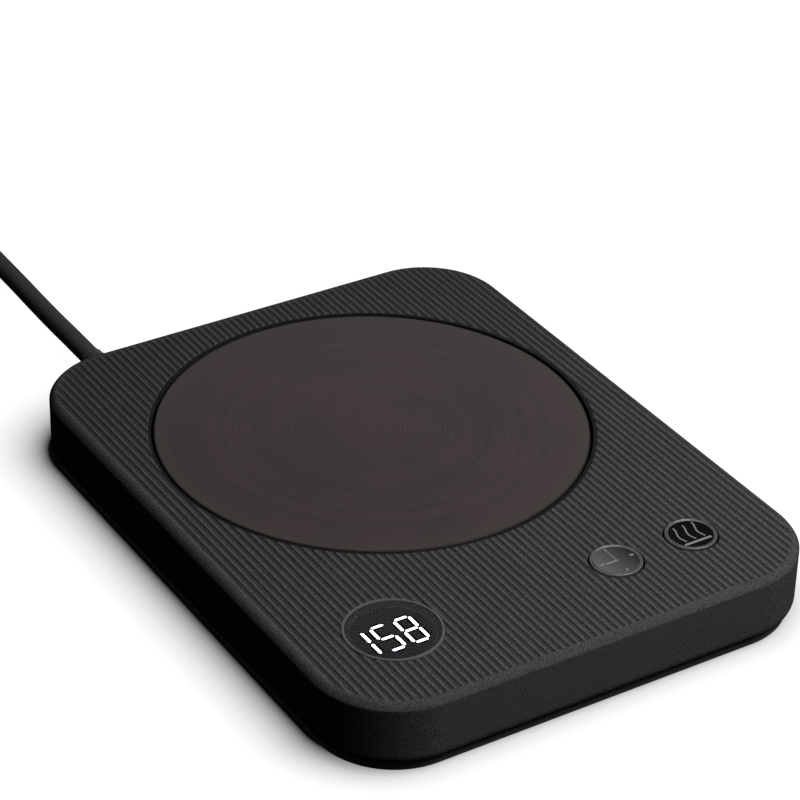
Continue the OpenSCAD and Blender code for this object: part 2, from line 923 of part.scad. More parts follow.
// Power switch for the heater, laid flat with its metal tab to the rear
module heater_triac() {
    tab_y = (triac_d + tab_d) / 2 - eps;
    color([0.08, 0.08, 0.08]) at_board(triac_at) difference() {
        union() {
            box(triac_w, triac_d, board_z, board_z + triac_h);
            translate([0, tab_y, 0]) box(triac_w, tab_d, board_z, board_z + tab_t);
        }
        translate([0, tab_y, 0]) disc(tab_hole_r, board_z - eps, board_z + tab_t + eps);
    }
}

module filter_capacitor() {
    color([0.1, 0.12, 0.3]) at_board(capacitor_at)
        translate([0, 0, board_z + capacitor_d / 2]) rotate([90, 0, 0])
            cylinder(d = capacitor_d, h = capacitor_l, center = true);
}

module film_capacitor() {
    color([0.75, 0.6, 0.15]) at_board(film_capacitor_at)
        box(film_capacitor_w, film_capacitor_d, board_z, board_z + film_capacitor_h);
}

module board_fuse() {
    color([0.75, 0.75, 0.7]) at_board(board_fuse_at)
        translate([0, 0, board_z + board_fuse_d / 2]) rotate([90, 0, 0])
            cylinder(d = board_fuse_d, h = board_fuse_l, center = true);
}

module buzzer() {
    color([0.1, 0.1, 0.1]) at_board(buzzer_at)
        ring(buzzer_r, buzzer_hole_r, board_z, board_z + buzzer_h);
}

// Screwless block with one cell for each lead
module terminal_block() {
    color([0.15, 0.35, 0.15]) at_board(terminal_at) difference() {
        box(terminal_w, terminal_d, board_z, board_z + terminal_h);
        for (x = cells) translate([x, terminal_d / 2, lead_z])
            rotate([90, 0, 0]) cylinder(r = lead_r + press_gap, h = 2 * cell_d + eps, center = true);
    }
}

// ---- Leads ----

// Lead that goes down from a height and turns to the front above the floor
function lead_down(x, y, top) = [
    [x, y, top], [x, y, lead_low + 2 * lead_bend], [x, y, lead_low + lead_bend],
    [x, y - lead_bend, lead_low + lead_bend / 4], [x, y - 3 * lead_bend, lead_low]
];

// Lead that rises behind the board and lies over it to a cell of the terminal block
function lead_into(cell) =
    let (x = terminal_at[0] + cells[cell])
    [
        [x, board_back + 4 * lead_bend, lead_low],
        [x, board_back + 2 * lead_bend, lead_z - lead_bend / 2],
        [x, board_back + lead_bend, lead_z], [x, lead_end, lead_z]
    ];

// One lead from the film and one from the thermal fuse
module heater_leads() {
    color([0.75, 0.2, 0.15]) {
        tube(concat(
            lead_down(terminal_at[0] + cells[1], window_y, film_under), lead_into(1)
        ), lead_r, lead_sides, [1, 0, 0]);
        tube(concat([
            [fuse_end, window_y, fuse_z], [fuse_end - lead_bend / 2, window_y, fuse_z],
            [fuse_end - 1.5 * lead_bend, window_y - lead_bend, fuse_z - lead_bend / 3],
            [fuse_end - 1.5 * lead_bend, window_y - 4 * lead_bend, lead_low],
            [fuse_end + lead_bend, window_y - 9 * lead_bend, lead_low],
            [fuse_end + 5 * lead_bend, board_back + 5 * lead_bend, lead_low]
        ], lead_into(0)), lead_r, lead_sides, [0, 0, 1]);
    }
}

module sensor_leads() {
    aside = window_x + window_w / 2 + 2 * lead_bend;
    color([0.9, 0.9, 0.88]) for (i = [0, 1])
        let (a = (2 * i - 1) * sensor_lead_gap, y = plate_y + a)
        tube(concat([
            [0, y, plate_under - bead_l], [0, y, lead_low + lead_bend],
            [lead_bend / 2, y, lead_low + lead_bend / 4], [4 * lead_bend, y, lead_low - 1],
            [9 * lead_bend, y - lead_bend, lead_low - 1],
            [aside - 2 * lead_bend + a, y - 5 * lead_bend, lead_low - 1],
            [aside + a, window_y, lead_low - 1],
            [aside + a, window_y - 6 * lead_bend, lead_low - 0.5]
        ], lead_into(2 + i)), sensor_lead_r, lead_sides, [1, 1, 0]);
}

// Two leads from the cord to the underside of the board, along the left side
module mains_leads() {
    aside = cord_x - 2 * lead_bend;
    end_x = mains_at[0];
    end_y = board_y + mains_at[1];
    start = rear_y - cord_inside;
    color([0.2, 0.3, 0.6]) for (s = [-mains_lead_gap, mains_lead_gap]) tube([
        [cord_x + s, start, cord_z], [cord_x + s, start - lead_bend, cord_z],
        [cord_x - lead_bend / 2 + s, start - 4 * lead_bend, lead_floor + 0.5],
        [aside + s, start - 8 * lead_bend, lead_floor],
        [aside + s, end_y + 18 * lead_bend, lead_floor],
        [end_x + s, end_y + 6 * lead_bend, lead_floor],
        [end_x + s, end_y + 2 * lead_bend, lead_floor],
        [end_x + s, end_y + lead_bend / 4, lead_floor + lead_bend / 2],
        [end_x + s, end_y, lead_floor + lead_bend],
        [end_x + s, end_y, board_under]
    ], lead_r, lead_sides, [1, 0, 0]);
}

// ---- Cord entry ----

module at_saddle_screws() {
    for (s = [-1, 1])
        translate([cord_x + s * clamp_bar_screw, clamp_bar_y, 0]) children();
}

module cord_clamp() {
    low = cord_z + clamp_bar_gap;
    color([0.2, 0.2, 0.2]) difference() {
        translate([cord_x, clamp_bar_y, 0])
            box(clamp_bar_w, clamp_bar_d, low, low + clamp_bar_t);
        at_cord(clamp_bar_y - clamp_bar_d)
            cylinder(r = cord_r + press_gap, h = 2 * clamp_bar_d);
        at_saddle_screws() disc(saddle_hole_r + drop_gap, low - eps, low + clamp_bar_t + eps);
    }
}

module cord_clamp_screws() {
    top = cord_z + clamp_bar_gap + clamp_bar_t;
    color([0.7, 0.7, 0.7]) at_saddle_screws() mirror([0, 0, 1])
        screw(-top, saddle_hole_r - press_gap, saddle_shank_l, saddle_head_r, saddle_head_h);
}

// Rubber sleeve with a collar inside the wall and a taper outside it
module strain_relief() {
    inner = rear_y - tongue_inset - rim_t;
    color([0.12, 0.12, 0.12]) at_cord(0) rotate_extrude() polygon([
        [cord_r + press_gap, inner - collar_t],
        [collar_r, inner - collar_t], [collar_r, inner],
        [sleeve_r, inner], [sleeve_r, rear_y + sleeve_land],
        [sleeve_tip_r, rear_y + sleeve_out],
        [cord_r + press_gap, rear_y + sleeve_out]
    ]);
}

// ---- Cord ----

module cord() {
    color([0.14, 0.135, 0.14]) at_exit() {
        tube(cord_to_coil, cord_r, cord_sides, [0, 0, 1]);
        tube(cord_to_plug, cord_r, cord_sides, [0, 0, 1]);
    }
}

// Outline of the coil's cross-section, from the coil's axis
module coil_section() {
    translate([coil_r, coil_z + coil_h / 2]) {
        square([coil_w, coil_h - 2 * coil_round], center = true);
        square([coil_w - 2 * coil_round, coil_h], center = true);
        for (x = [-1, 1], z = [-1, 1])
            translate([x * (coil_w / 2 - coil_round), z * (coil_h / 2 - coil_round)])
                circle(coil_round, $fn = 32);
    }
}

module cord_coil() {
    color([0.14, 0.135, 0.14]) at_exit() translate([coil_x, coil_y, 0])
        rotate_extrude() coil_section();
}

module cord_ties() {
    low = coil_z - tie_t;
    color([0.1, 0.1, 0.1]) at_exit() for (s = [-1, 1])
        translate([coil_x, coil_y + s * coil_r, 0]) rotate([90, 0, 90])
            linear_extrude(tie_w, center = true) difference() {
                translate([-coil_w / 2 - tie_gap - tie_t, low])
                    square([coil_w + 2 * (tie_gap + tie_t), coil_h + 2 * tie_t]);
                translate([-coil_w / 2 - tie_gap, coil_z])
                    square([coil_w + 2 * tie_gap, coil_h]);
            }
}

// ---- Plug ----

module plug_body() {
    color([0.13, 0.13, 0.13]) at_exit() translate([plug_x, plug_y, plug_h / 2]) difference() {
        rotate([90, 0, 0]) union() {
            intersection() {
                linear_extrude(plug_l) {
                    square([plug_w, plug_h - 2 * plug_round], center = true);
                    square([plug_w - 2 * plug_round, plug_h], center = true);
                    for (x = [-1, 1], y = [-1, 1])
                        translate([x * (plug_w / 2 - plug_round), y * (plug_h / 2 - plug_round)])
                            circle(plug_round, $fn = 48);
                }
                rotate([90, 0, 0]) linear_extrude(plug_h, center = true)
                    polygon(mirrored(plug_edge, plug_w / 2));
            }
            translate([0, 0, -plug_sleeve_l])
                cylinder(r1 = plug_tip_r, r2 = plug_sleeve_r, h = plug_sleeve_l + 2);
        }
        translate([0, plug_sleeve_l + eps, 0]) rotate([90, 0, 0])
            cylinder(r = cord_r + press_gap, h = plug_bore_l + eps);
        for (s = [-1, 1])
            translate([s * blade_step / 2, -plug_l + blade_root, 0]) rotate([90, 0, 0])
                linear_extrude(blade_root + eps)
                    square([blade_w + 2 * press_gap, blade_h + 2 * press_gap], center = true);
    }
}

module plug_blades() {
    color([0.78, 0.74, 0.6]) at_exit() for (s = [-1, 1])
        translate([plug_x + s * blade_step / 2, plug_y - plug_l, plug_h / 2]) difference() {
            rotate([90, 0, 0]) translate([0, 0, -blade_root])
                linear_extrude(blade_root + blade_l) square([blade_w, blade_h], center = true);
            translate([0, -blade_hole_at, 0]) rotate([0, 90, 0])
                cylinder(r = blade_hole_r, h = 2 * blade_w, center = true);
        }
}

top_shell();
base_cover();
heating_plate();
plate_seal();
heater_film();
insulation_pad();
clamp_plate();
clamp_screws();
thermistor();
thermal_fuse();
fuse_clip();
display_ring();
display_lens();
segment_mask();
lit_segments();
unlit_segments();
display_module();
timer_button_cap();
timer_button_rim();
timer_switch();
timer_switch_stem();
heat_button_cap();
heat_button_rim();
heat_switch();
heat_switch_stem();
control_board();
control_chip();
heater_triac();
filter_capacitor();
film_capacitor();
board_fuse();
buzzer();
terminal_block();
board_screws();
heater_leads();
sensor_leads();
mains_leads();
cord_clamp();
cord_clamp_screws();
strain_relief();
housing_screws();
rubber_feet();
cord();
cord_coil();
cord_ties();
plug_body();
plug_blades();
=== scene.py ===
"""An electric mug warmer: its finishes, ribbed deck, signs, cord and studio, round its frame."""

from __future__ import annotations

import logging
import math
from dataclasses import dataclass, field
from enum import Enum
from typing import Any, Sequence

import bmesh
import bpy
from mathutils import Matrix, Vector

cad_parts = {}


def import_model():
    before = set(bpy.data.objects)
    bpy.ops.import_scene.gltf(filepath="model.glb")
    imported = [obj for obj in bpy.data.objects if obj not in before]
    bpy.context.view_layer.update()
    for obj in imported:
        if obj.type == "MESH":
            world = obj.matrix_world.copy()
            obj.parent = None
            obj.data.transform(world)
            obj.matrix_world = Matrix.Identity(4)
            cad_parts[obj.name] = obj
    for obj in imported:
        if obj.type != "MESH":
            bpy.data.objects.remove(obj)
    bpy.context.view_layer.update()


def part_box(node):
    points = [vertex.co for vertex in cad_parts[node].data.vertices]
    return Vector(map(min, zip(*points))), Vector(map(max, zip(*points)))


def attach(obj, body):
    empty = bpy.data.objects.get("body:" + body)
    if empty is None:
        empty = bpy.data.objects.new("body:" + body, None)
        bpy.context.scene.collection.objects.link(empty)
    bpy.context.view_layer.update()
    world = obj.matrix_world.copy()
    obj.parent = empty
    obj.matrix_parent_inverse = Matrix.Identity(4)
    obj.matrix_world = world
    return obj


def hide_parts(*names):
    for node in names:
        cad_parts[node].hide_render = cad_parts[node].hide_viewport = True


LOG = logging.getLogger("mug_warmer")
MM = 0.001

Point = tuple[float, float, float]
Place = tuple[float, float]
Line = Sequence[Place]
Mesh = tuple[list[Point], list[list[int]]]
Socket = bpy.types.NodeSocket
Tree = bpy.types.NodeTree
Strokes = list[tuple[Line, float]]
Settings = dict[str | int, Any]

# Where nearly all values of a noise lie
NOISE_SPAN = (0.3, 0.7)
# Half a height, in mm, that nothing passes
ENDLESS = 1000.0
# Where a colour mix has the two colours that go in, and the one that comes out
COLOUR_A, COLOUR_B, MIXED = 6, 7, 2
# The angle in degrees from which an edge shows as an edge
CREASE = 35.0
# Steps in a turn of wide rings, rims, holes, tubes and screw bosses
WIDE, RIM, HOLE, TUBE, BOSS = 256, 192, 96, 64, 48


class Body(Enum):
    """The bodies that pieces ride on."""

    HOUSING = "housing"
    TIMER = "timer_button"
    HEAT = "heat_button"


class Slot(Enum):
    """Names for the slots of the new pieces' finishes."""

    SHELL = "shell_plastic"
    PLATE = "plate_coating"
    TRIM = "ring_plastic"
    MASK = "mask_black"
    METAL = "rim_metal"
    SLEEVE = "sleeve_rubber"
    JACKET = "cord_jacket"
    TIE = "tie_nylon"
    PLUG = "plug_plastic"


# ---- Node tools ----


def linear(colour: str) -> tuple[float, float, float, float]:
    """Turns an sRGB hex colour to linear light.

    Args:
        colour: A colour such as "#3d3a3d".

    Returns:
        Linear red, green and blue, and an alpha of 1.
    """
    parts = [int(colour[i : i + 2], 16) / 255 for i in (1, 3, 5)]
    light = [c / 12.92 if c <= 0.04045 else ((c + 0.055) / 1.055) ** 2.4 for c in parts]
    return (*light, 1.0)


def feed(node: bpy.types.Node, settings: Settings) -> None:
    """Sets a node's options and inputs.

    Args:
        node: The node.
        settings: Values of its own options, or of its inputs by name or number. An input
            that is given another node's output is linked to it.
    """
    for key, value in settings.items():
        if isinstance(value, Socket):
            node.id_data.links.new(value, node.inputs[key])
        elif isinstance(key, str) and hasattr(node, key):
            setattr(node, key, value)
        else:
            node.inputs[key].default_value = value


def add(tree: Tree, kind: str, settings: Settings | None = None) -> bpy.types.NodeOutputs:
    """Adds a node with its settings and links.

    Args:
        tree: The tree that the node joins.
        kind: The node's type, without the first word that all types share.
        settings: Its options, values and links, as feed takes them.

    Returns:
        The node's outputs.
    """
    node = tree.nodes.new(f"ShaderNode{kind}")
    feed(node, settings or {})
    return node.outputs


def span(first: float | Socket, last: float | Socket) -> Settings:
    """Gives the settings of the range that a value is taken from."""
    return {"From Min": first, "From Max": last}


def onto(first: float | Socket, last: float | Socket) -> Settings:
    """Gives the settings of the range that a value is spread over."""
    return {"To Min": first, "To Max": last}


def in_mm(tree: Tree, centre: Point = (0.0, 0.0, 0.0)) -> Socket:
    """Gives places on the part in millimetres.

    Args:
        tree: The material's tree.
        centre: The point, in mm, that the places are measured from.

    Returns:
        The place.
    """
    place = add(tree, "TexCoord")["Object"]
    steps = {1: (1 / MM,) * 3, 2: tuple(-c for c in centre)}
    return add(tree, "VectorMath", {"operation": "MULTIPLY_ADD", 0: place, **steps})[0]


def from_axis(tree: Tree, centre: Place) -> Socket:
    """Measures how far places are from an upright axis.

    Args:
        tree: The material's tree.
        centre: Where the axis stands, in mm.

    Returns:
        The distance in mm.
    """
    place = in_mm(tree, (*centre, 0.0))
    flat = add(tree, "VectorMath", {"operation": "MULTIPLY", 0: place, 1: (1.0, 1.0, 0.0)})[0]
    return add(tree, "VectorMath", {"operation": "LENGTH", 0: flat})["Value"]


def outside(tree: Tree, place: Socket, half: Place) -> Socket:
    """Measures how far places are outside a tall block.

    Args:
        tree: The material's tree.
        place: The place in mm, from the block's middle.
        half: Half the block's width and depth.

    Returns:
        The distance in mm, which is 0 inside the block.
    """
    size = add(tree, "VectorMath", {"operation": "ABSOLUTE", 0: place})[0]
    past = add(tree, "VectorMath", {"operation": "SUBTRACT", 0: size, 1: (*half, ENDLESS)})[0]
    over = add(tree, "VectorMath", {"operation": "MAXIMUM", 0: past, 1: (0.0, 0.0, 0.0)})[0]
    return add(tree, "VectorMath", {"operation": "LENGTH", 0: over})["Value"]


def wave(tree: Tree, way: Socket, length: float) -> Socket:
    """Gives a wave, from -1 to 1, whose length is in mm along a way."""
    turn = add(tree, "Math", {"operation": "MULTIPLY", 0: way, 1: 2 * math.pi / length})[0]
    return add(tree, "Math", {"operation": "SINE", 0: turn})[0]


def two_toned(
    tree: Tree, share: Socket, tones: tuple[str, str], height: Socket, relief: float
) -> Settings:
    """Blends two colours over a surface and raises it.

    Args:
        tree: The material's tree.
        share: The second colour's share.
        tones: The two colours.
        height: The surface's height, from 0 to 1.
        relief: The height in mm that 1 stands for.

    Returns:
        The shader's colour and normal.
    """
    first, second = tones
    tones = {0: share, COLOUR_A: linear(first), COLOUR_B: linear(second)}
    tint = add(tree, "Mix", {"data_type": "RGBA", **tones})[MIXED]
    bump = add(tree, "Bump", {"Distance": relief * MM, "Height": height})["Normal"]
    return {"Base Color": tint, "Normal": bump}


# ---- Frame tools ----


def smoothstep(share: float) -> float:
    """Eases a share from 0 to 1, with flat ends."""
    share = min(max(share, 0.0), 1.0)
    return share * share * (3 - 2 * share)


def size_of(node: str) -> Vector:
    """Gives the size of a node's box in mm."""
    first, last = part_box(node)
    return (last - first) / MM


def middle_of(node: str) -> Place:
    """Gives the x and y of a node's middle in mm."""
    first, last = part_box(node)
    return (first.x + last.x) / 2 / MM, (first.y + last.y) / 2 / MM


def heights_of(node: str) -> Place:
    """Gives a node's lowest and highest z in mm."""
    first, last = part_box(node)
    return first.z / MM, last.z / MM


def rear_of(node: str) -> float:
    """Gives a node's rearmost y in mm."""
    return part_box(node)[1].y / MM


# ---- Finishes ----


@dataclass(frozen=True)
class Finish:
    """A material: what a piece is made of and how its surface was made."""

    name: str
    colour: str
    roughness: float
    metallic: float = 0.0
    specular: float = 0.5
    ior: float = 1.5

    def material(self) -> bpy.types.Material:
        """Builds the material once.

        Returns:
            The material, which later calls share.
        """
        made = bpy.data.materials.get(self.name)
        if made:
            return made
        made = bpy.data.materials.new(self.name)
        made.use_nodes = True
        tree = made.node_tree
        tree.nodes.clear()
        plain = {
            "Base Color": linear(self.colour),
            "Roughness": self.roughness,
            "Metallic": self.metallic,
            "Specular IOR Level": self.specular,
            "IOR": self.ior,
        }
        surface = add(tree, "BsdfPrincipled", plain)["BSDF"]
        feed(surface.node, self.pattern(tree))
        add(tree, "OutputMaterial", {"Surface": surface})
        return made

    def pattern(self, tree: Tree) -> Settings:
        """Draws the surface's pattern.

        Args:
            tree: The material's tree.

        Returns:
            The shader's inputs that the pattern changes.
        """
        raise NotImplementedError(self.name)


@dataclass(frozen=True)
class Grained(Finish):
    """A moulded, cast or dipped surface with an even grain."""

    pale: str = "#808080"
    # The grain of a mould is about 0.1 mm. Grains under 0.5 mm are drawn up to four times as
    # coarse, so that they show, and larger ones have their real size
    grain: float = 0.25
    relief: float = 0.01
    handling: float = 14.0
    uneven: float = 0.06

    def shade(self, tree: Tree, tint: Socket) -> Socket:
        """Gives the grained colour; finishes with a form of their own paint light and shade over
        it.
        """
        return tint

    def pattern(self, tree: Tree) -> Settings:
        """Draws grain in the colour and the height, and slow changes in the gloss.

        Args:
            tree: The material's tree.

        Returns:
            The shader's colour, roughness and normal.
        """
        place = in_mm(tree)
        grains = add(tree, "TexNoise", {"Vector": place, "Scale": 1 / self.grain})["Fac"]
        speck = add(tree, "MapRange", {"Value": grains, **span(*NOISE_SPAN)})["Result"]
        slow = add(tree, "TexNoise", {"Vector": place, "Scale": 1 / self.handling})["Fac"]
        ends = onto(self.roughness - self.uneven, self.roughness + self.uneven)
        gloss = add(tree, "MapRange", {"Value": slow, **span(*NOISE_SPAN), **ends})["Result"]
        toned = two_toned(tree, speck, (self.colour, self.pale), grains, self.relief)
        tint = self.shade(tree, toned["Base Color"])
        return {**toned, "Base Color": tint, "Roughness": gloss}


@dataclass(frozen=True)
class RibbedAbs(Grained):
    """Grained ABS with painted highlights on the ribs' shoulders and painted shade in their
    grooves.
    """

    half: Place = (56.0, 72.0)
    edge_r: float = 18.5
    border: float = 1.7
    border_soft: float = 0.3
    step: float = 108.8 / 66
    # Shares of a rib's width: painted shade in the groove, and a painted highlight from the
    # shoulder that fades by the slope's end
    groove: float = 0.06
    shoulder: float = 0.3
    slope_end: float = 0.72
    groove_shade: float = 0.66
    shoulder_highlight: float = 1.5
    well: Place = (0.0, 16.0)
    # The land round the well, which gets a painted shadow
    land: Place = (46.9, 47.85)
    land_shadow: float = 0.3

    def shade(self, tree: Tree, tint: Socket) -> Socket:
        """Paints highlight and shade across the ribs, and a painted shadow on the land round the
        well.

        Args:
            tree: The material's tree.
            tint: The grained colour.

        Returns:
            The colour with its painted highlight, shade and shadow.
        """
        place = in_mm(tree)
        core = (self.half[0] - self.edge_r, self.half[1] - self.edge_r)
        end = self.edge_r - self.border
        edge = span(end - self.border_soft, end + self.border_soft)
        past = outside(tree, place, core)
        ribbed = add(tree, "MapRange", {"Value": past, **edge, **onto(1.0, 0.0)})["Result"]
        across = add(tree, "SeparateXYZ", {0: place})["X"]
        ribs = add(tree, "Math", {"operation": "MULTIPLY", 0: across, 1: 1 / self.step})[0]
        share = add(tree, "Math", {"operation": "FRACT", 0: ribs})[0]
        soft = {"interpolation_type": "SMOOTHSTEP", "Value": share}
        # Painted light across each rib: shade in the groove and a highlight at the shoulder
        rise = add(tree, "MapRange", {**soft, **span(self.groove, self.shoulder)})["Result"]
        slope = {**span(self.shoulder, self.slope_end), **onto(self.shoulder_highlight - self.groove_shade, 0.0)}
        fall = add(tree, "MapRange", {**soft, **slope})["Result"]
        painted_rib_light = add(tree, "Math", {"operation": "MULTIPLY_ADD", 0: rise, 1: fall, 2: self.groove_shade})[0]
        level = add(tree, "MapRange", {"Value": ribbed, **onto(1.0, painted_rib_light)})["Result"]
        # Painted shadow on the land round the well
        near, far = self.land
        ring = {0: from_axis(tree, self.well), 1: (near + far) / 2, 2: (far - near) / 2}
        land = add(tree, "Math", {"operation": "COMPARE", **ring})[0]
        level = add(tree, "MapRange", {"Value": land, **onto(level, self.land_shadow)})["Result"]
        return add(tree, "VectorMath", {"operation": "SCALE", 0: tint, "Scale": level})[0]


@dataclass(frozen=True)
class TurnedCoating(Finish):
    """A turned disc under a thin non-stick coating, with lines round its middle."""

    edge_colour: str = "#302c2a"
    ember: str = "#35292b"
    centre: Place = (0.0, 16.0)
    radius: float = 46.6
    band: float = 2.6
    band_soft: float = 0.6
    # The turning feed is about 0.2 mm. The lines are drawn twice as coarse, so that they show
    line_step: float = 0.45
    line_span: Place = (0.25, 0.75)
    line_tones: Place = (0.72, 1.25)
    zone: float = 4.5
    patch: float = 22.0
    warm_span: Place = (0.8, 1.2)
    # A painted shadow along the very rim
    edge_shadow: float = 0.35
    edge_shadow_soft: float = 0.1
    edge_shadow_tone: float = 0.3
    relief: float = 0.012
    uneven: Place = (-0.06, 0.08)

    def pattern(self, tree: Tree) -> Settings:
        """Draws turned lines, warm and cool zones, a plain band at the edge and a painted shadow at
        the rim.

        Args:
            tree: The material's tree.

        Returns:
            The shader's colour, roughness and normal.
        """
        out = from_axis(tree, self.centre)
        rings = {"noise_dimensions": "1D", "W": out, "Detail": 3.0}
        lines = add(tree, "TexNoise", {**rings, "Scale": 1 / self.line_step})["Fac"]
        zones = add(tree, "TexNoise", {**rings, "Scale": 1 / self.zone})["Fac"]
        patches = add(tree, "TexNoise", {"Vector": in_mm(tree), "Scale": 1 / self.patch})["Fac"]
        both = add(tree, "Math", {"operation": "ADD", 0: zones, 1: patches})[0]
        warm = add(tree, "MapRange", {"Value": both, **span(*self.warm_span)})["Result"]
        tones = {0: warm, COLOUR_A: linear(self.colour), COLOUR_B: linear(self.ember)}
        middle = add(tree, "Mix", {"data_type": "RGBA", **tones})[MIXED]
        start = self.radius - self.band
        soft = {"interpolation_type": "SMOOTHSTEP", "Value": out}
        edge = span(start - self.band_soft, start + self.band_soft)
        rim = add(tree, "MapRange", {**soft, **edge})["Result"]
        tones = {0: rim, COLOUR_A: middle, COLOUR_B: linear(self.edge_colour)}
        tint = add(tree, "Mix", {"data_type": "RGBA", **tones})[MIXED]
        ends = {**span(*self.line_span), **onto(*self.line_tones)}
        level = add(tree, "MapRange", {"Value": lines, **ends})["Result"]
        # Painted shadow along the very rim
        start = self.radius - self.edge_shadow
        edge = span(start - self.edge_shadow_soft, start + self.edge_shadow_soft)
        ends = onto(level, self.edge_shadow_tone)
        level = add(tree, "MapRange", {"Value": out, **edge, **ends})["Result"]
        lined = add(tree, "VectorMath", {"operation": "SCALE", 0: tint, "Scale": level})[0]
        ends = onto(self.roughness + self.uneven[0], self.roughness + self.uneven[1])
        gloss = add(tree, "MapRange", {"Value": lines, **ends})["Result"]
        bump = add(tree, "Bump", {"Distance": self.relief * MM, "Height": lines})["Normal"]
        return {"Base Color": lined, "Roughness": gloss, "Normal": bump}


@dataclass(frozen=True)
class WorkedMetal(Finish):
    """A rolled, turned or stamped metal with streaks along its working direction."""

    dark: str = "#808080"
    # Streaks of rolling and turning are about 0.05 mm wide, and are drawn coarser to show
    streak: float = 0.12
    stretch: Point = (1.0, 0.06, 1.0)
    stain: float = 2.5
    worn_span: Place = (0.12, 0.38)
    relief: float = 0.004
    uneven: float = 0.08

    def pattern(self, tree: Tree) -> Settings:
        """Draws fine streaks and slow stains.

        Args:
            tree: The material's tree.

        Returns:
            The shader's colour, roughness and normal.
        """
        place = in_mm(tree)
        along = add(tree, "VectorMath", {"operation": "MULTIPLY", 0: place, 1: self.stretch})[0]
        fine = {"Scale": 1 / self.streak, "Detail": 3.0}
        streaks = add(tree, "TexNoise", {"Vector": along, **fine})["Fac"]
        broad = {"Scale": 1 / self.stain, "Detail": 3.0}
        stains = add(tree, "TexNoise", {"Vector": place, **broad})["Fac"]
        both = add(tree, "Math", {"operation": "MULTIPLY", 0: streaks, 1: stains})[0]
        worn = add(tree, "MapRange", {"Value": both, **span(*self.worn_span)})["Result"]
        ends = onto(self.roughness + self.uneven, self.roughness - self.uneven)
        gloss = add(tree, "MapRange", {"Value": streaks, **ends})["Result"]
        toned = two_toned(tree, worn, (self.dark, self.colour), streaks, self.relief)
        return {**toned, "Roughness": gloss}


@dataclass(frozen=True)
class PaintedReflectionFilm(Finish):
    """A face film with a painted reflection that runs from one side of the button to the other."""

    far: str = "#323033"
    centre: Place = (0.0, 0.0)
    toward: Place = (0.83, 0.56)
    reach: float = 4.6
    # The film's grain is about 0.05 mm, and is drawn four times as coarse to show
    grain: float = 0.2
    stir: float = 1.6

    def pattern(self, tree: Tree) -> Settings:
        """Draws the painted reflection, stirred by a fine grain.

        Args:
            tree: The material's tree.

        Returns:
            The shader's colour.
        """
        place = in_mm(tree, (*self.centre, 0.0))
        way = (*self.toward, 0.0)
        along = add(tree, "VectorMath", {"operation": "DOT_PRODUCT", 0: place, 1: way})["Value"]
        grains = add(tree, "TexNoise", {"Vector": place, "Scale": 1 / self.grain})["Fac"]
        mixed = {0: grains, 1: self.stir, 2: along}
        stirred = add(tree, "Math", {"operation": "MULTIPLY_ADD", **mixed})[0]
        ends = span(self.stir / 2 - self.reach, self.stir / 2 + self.reach)
        # Painted reflection: the tone runs from the face's colour to the far one
        sweep = add(tree, "MapRange", {"Value": stirred, **ends})["Result"]
        tones = {0: sweep, COLOUR_A: linear(self.colour), COLOUR_B: linear(self.far)}
        return {"Base Color": add(tree, "Mix", {"data_type": "RGBA", **tones})[MIXED]}


@dataclass(frozen=True)
class SmokedAcrylic(Finish):
    """A cast smoked pane that lets the lit digits through and hides the rest."""

    dust: float = 0.6
    wiped: float = 0.06
    mark_span: Place = (0.4, 0.7)

    def pattern(self, tree: Tree) -> Settings:
        """Lets light through, with faint wiping marks in the gloss.

        Args:
            tree: The material's tree.

        Returns:
            The shader's transmission and roughness.
        """
        fine = {"Scale": 1 / self.dust, "Detail": 4.0}
        marks = add(tree, "TexNoise", {"Vector": in_mm(tree), **fine})["Fac"]
        ends = {**span(*self.mark_span), **onto(self.roughness, self.wiped)}
        gloss = add(tree, "MapRange", {"Value": marks, **ends})["Result"]
        return {"Transmission Weight": 1.0, "Roughness": gloss}


@dataclass(frozen=True)
class LitDiffuser(Finish):
    """A milky light guide over an LED, a little cloudy."""

    glow: float = 1.0
    dimmest: float = 0.92
    cloud: float = 1.2

    def pattern(self, tree: Tree) -> Settings:
        """Draws the glow, a little uneven.

        Args:
            tree: The material's tree.

        Returns:
            The shader's glow.
        """
        clouds = add(tree, "TexNoise", {"Vector": in_mm(tree), "Scale": 1 / self.cloud})["Fac"]
        ends = {**span(*NOISE_SPAN), **onto(self.dimmest * self.glow, self.glow)}
        level = add(tree, "MapRange", {"Value": clouds, **ends})["Result"]
        return {"Emission Color": linear(self.colour), "Emission Strength": level}


@dataclass(frozen=True)
class GlowPaintedPrint(Grained):
    """A dark print made a little paler by a faint painted glow."""

    painted_glow: float = 0.026
    painted_glow_colour: str = "#fff5ff"

    def pattern(self, tree: Tree) -> Settings:
        """Adds the painted glow to the grain."""
        glow = {"Emission Color": linear(self.painted_glow_colour), "Emission Strength": self.painted_glow}
        return {**super().pattern(tree), **glow}


@dataclass(frozen=True)
class Woven(Finish):
    """A woven tape, with warp threads along it and weft threads across it."""

    gap: str = "#101010"
    # The wave that a pair of threads makes, about twice as long as the real one
    thread: float = 0.9
    relief: float = 0.08

    def pattern(self, tree: Tree) -> Settings:
        """Crosses two sets of threads, drawn about twice too coarse so that they show.

        Args:
            tree: The material's tree.

        Returns:
            The shader's colour and normal.
        """
        place = add(tree, "SeparateXYZ", {0: in_mm(tree)})
        run = add(tree, "Math", {"operation": "ADD", 0: place["Y"], 1: place["Z"]})[0]
        warp, weft = wave(tree, place["X"], self.thread), wave(tree, run, self.thread)
        cross = add(tree, "Math", {"operation": "MULTIPLY", 0: warp, 1: weft})[0]
        rise = add(tree, "MapRange", {"Value": cross, **span(-1.0, 1.0)})["Result"]
        return two_toned(tree, rise, (self.gap, self.colour), rise, self.relief)


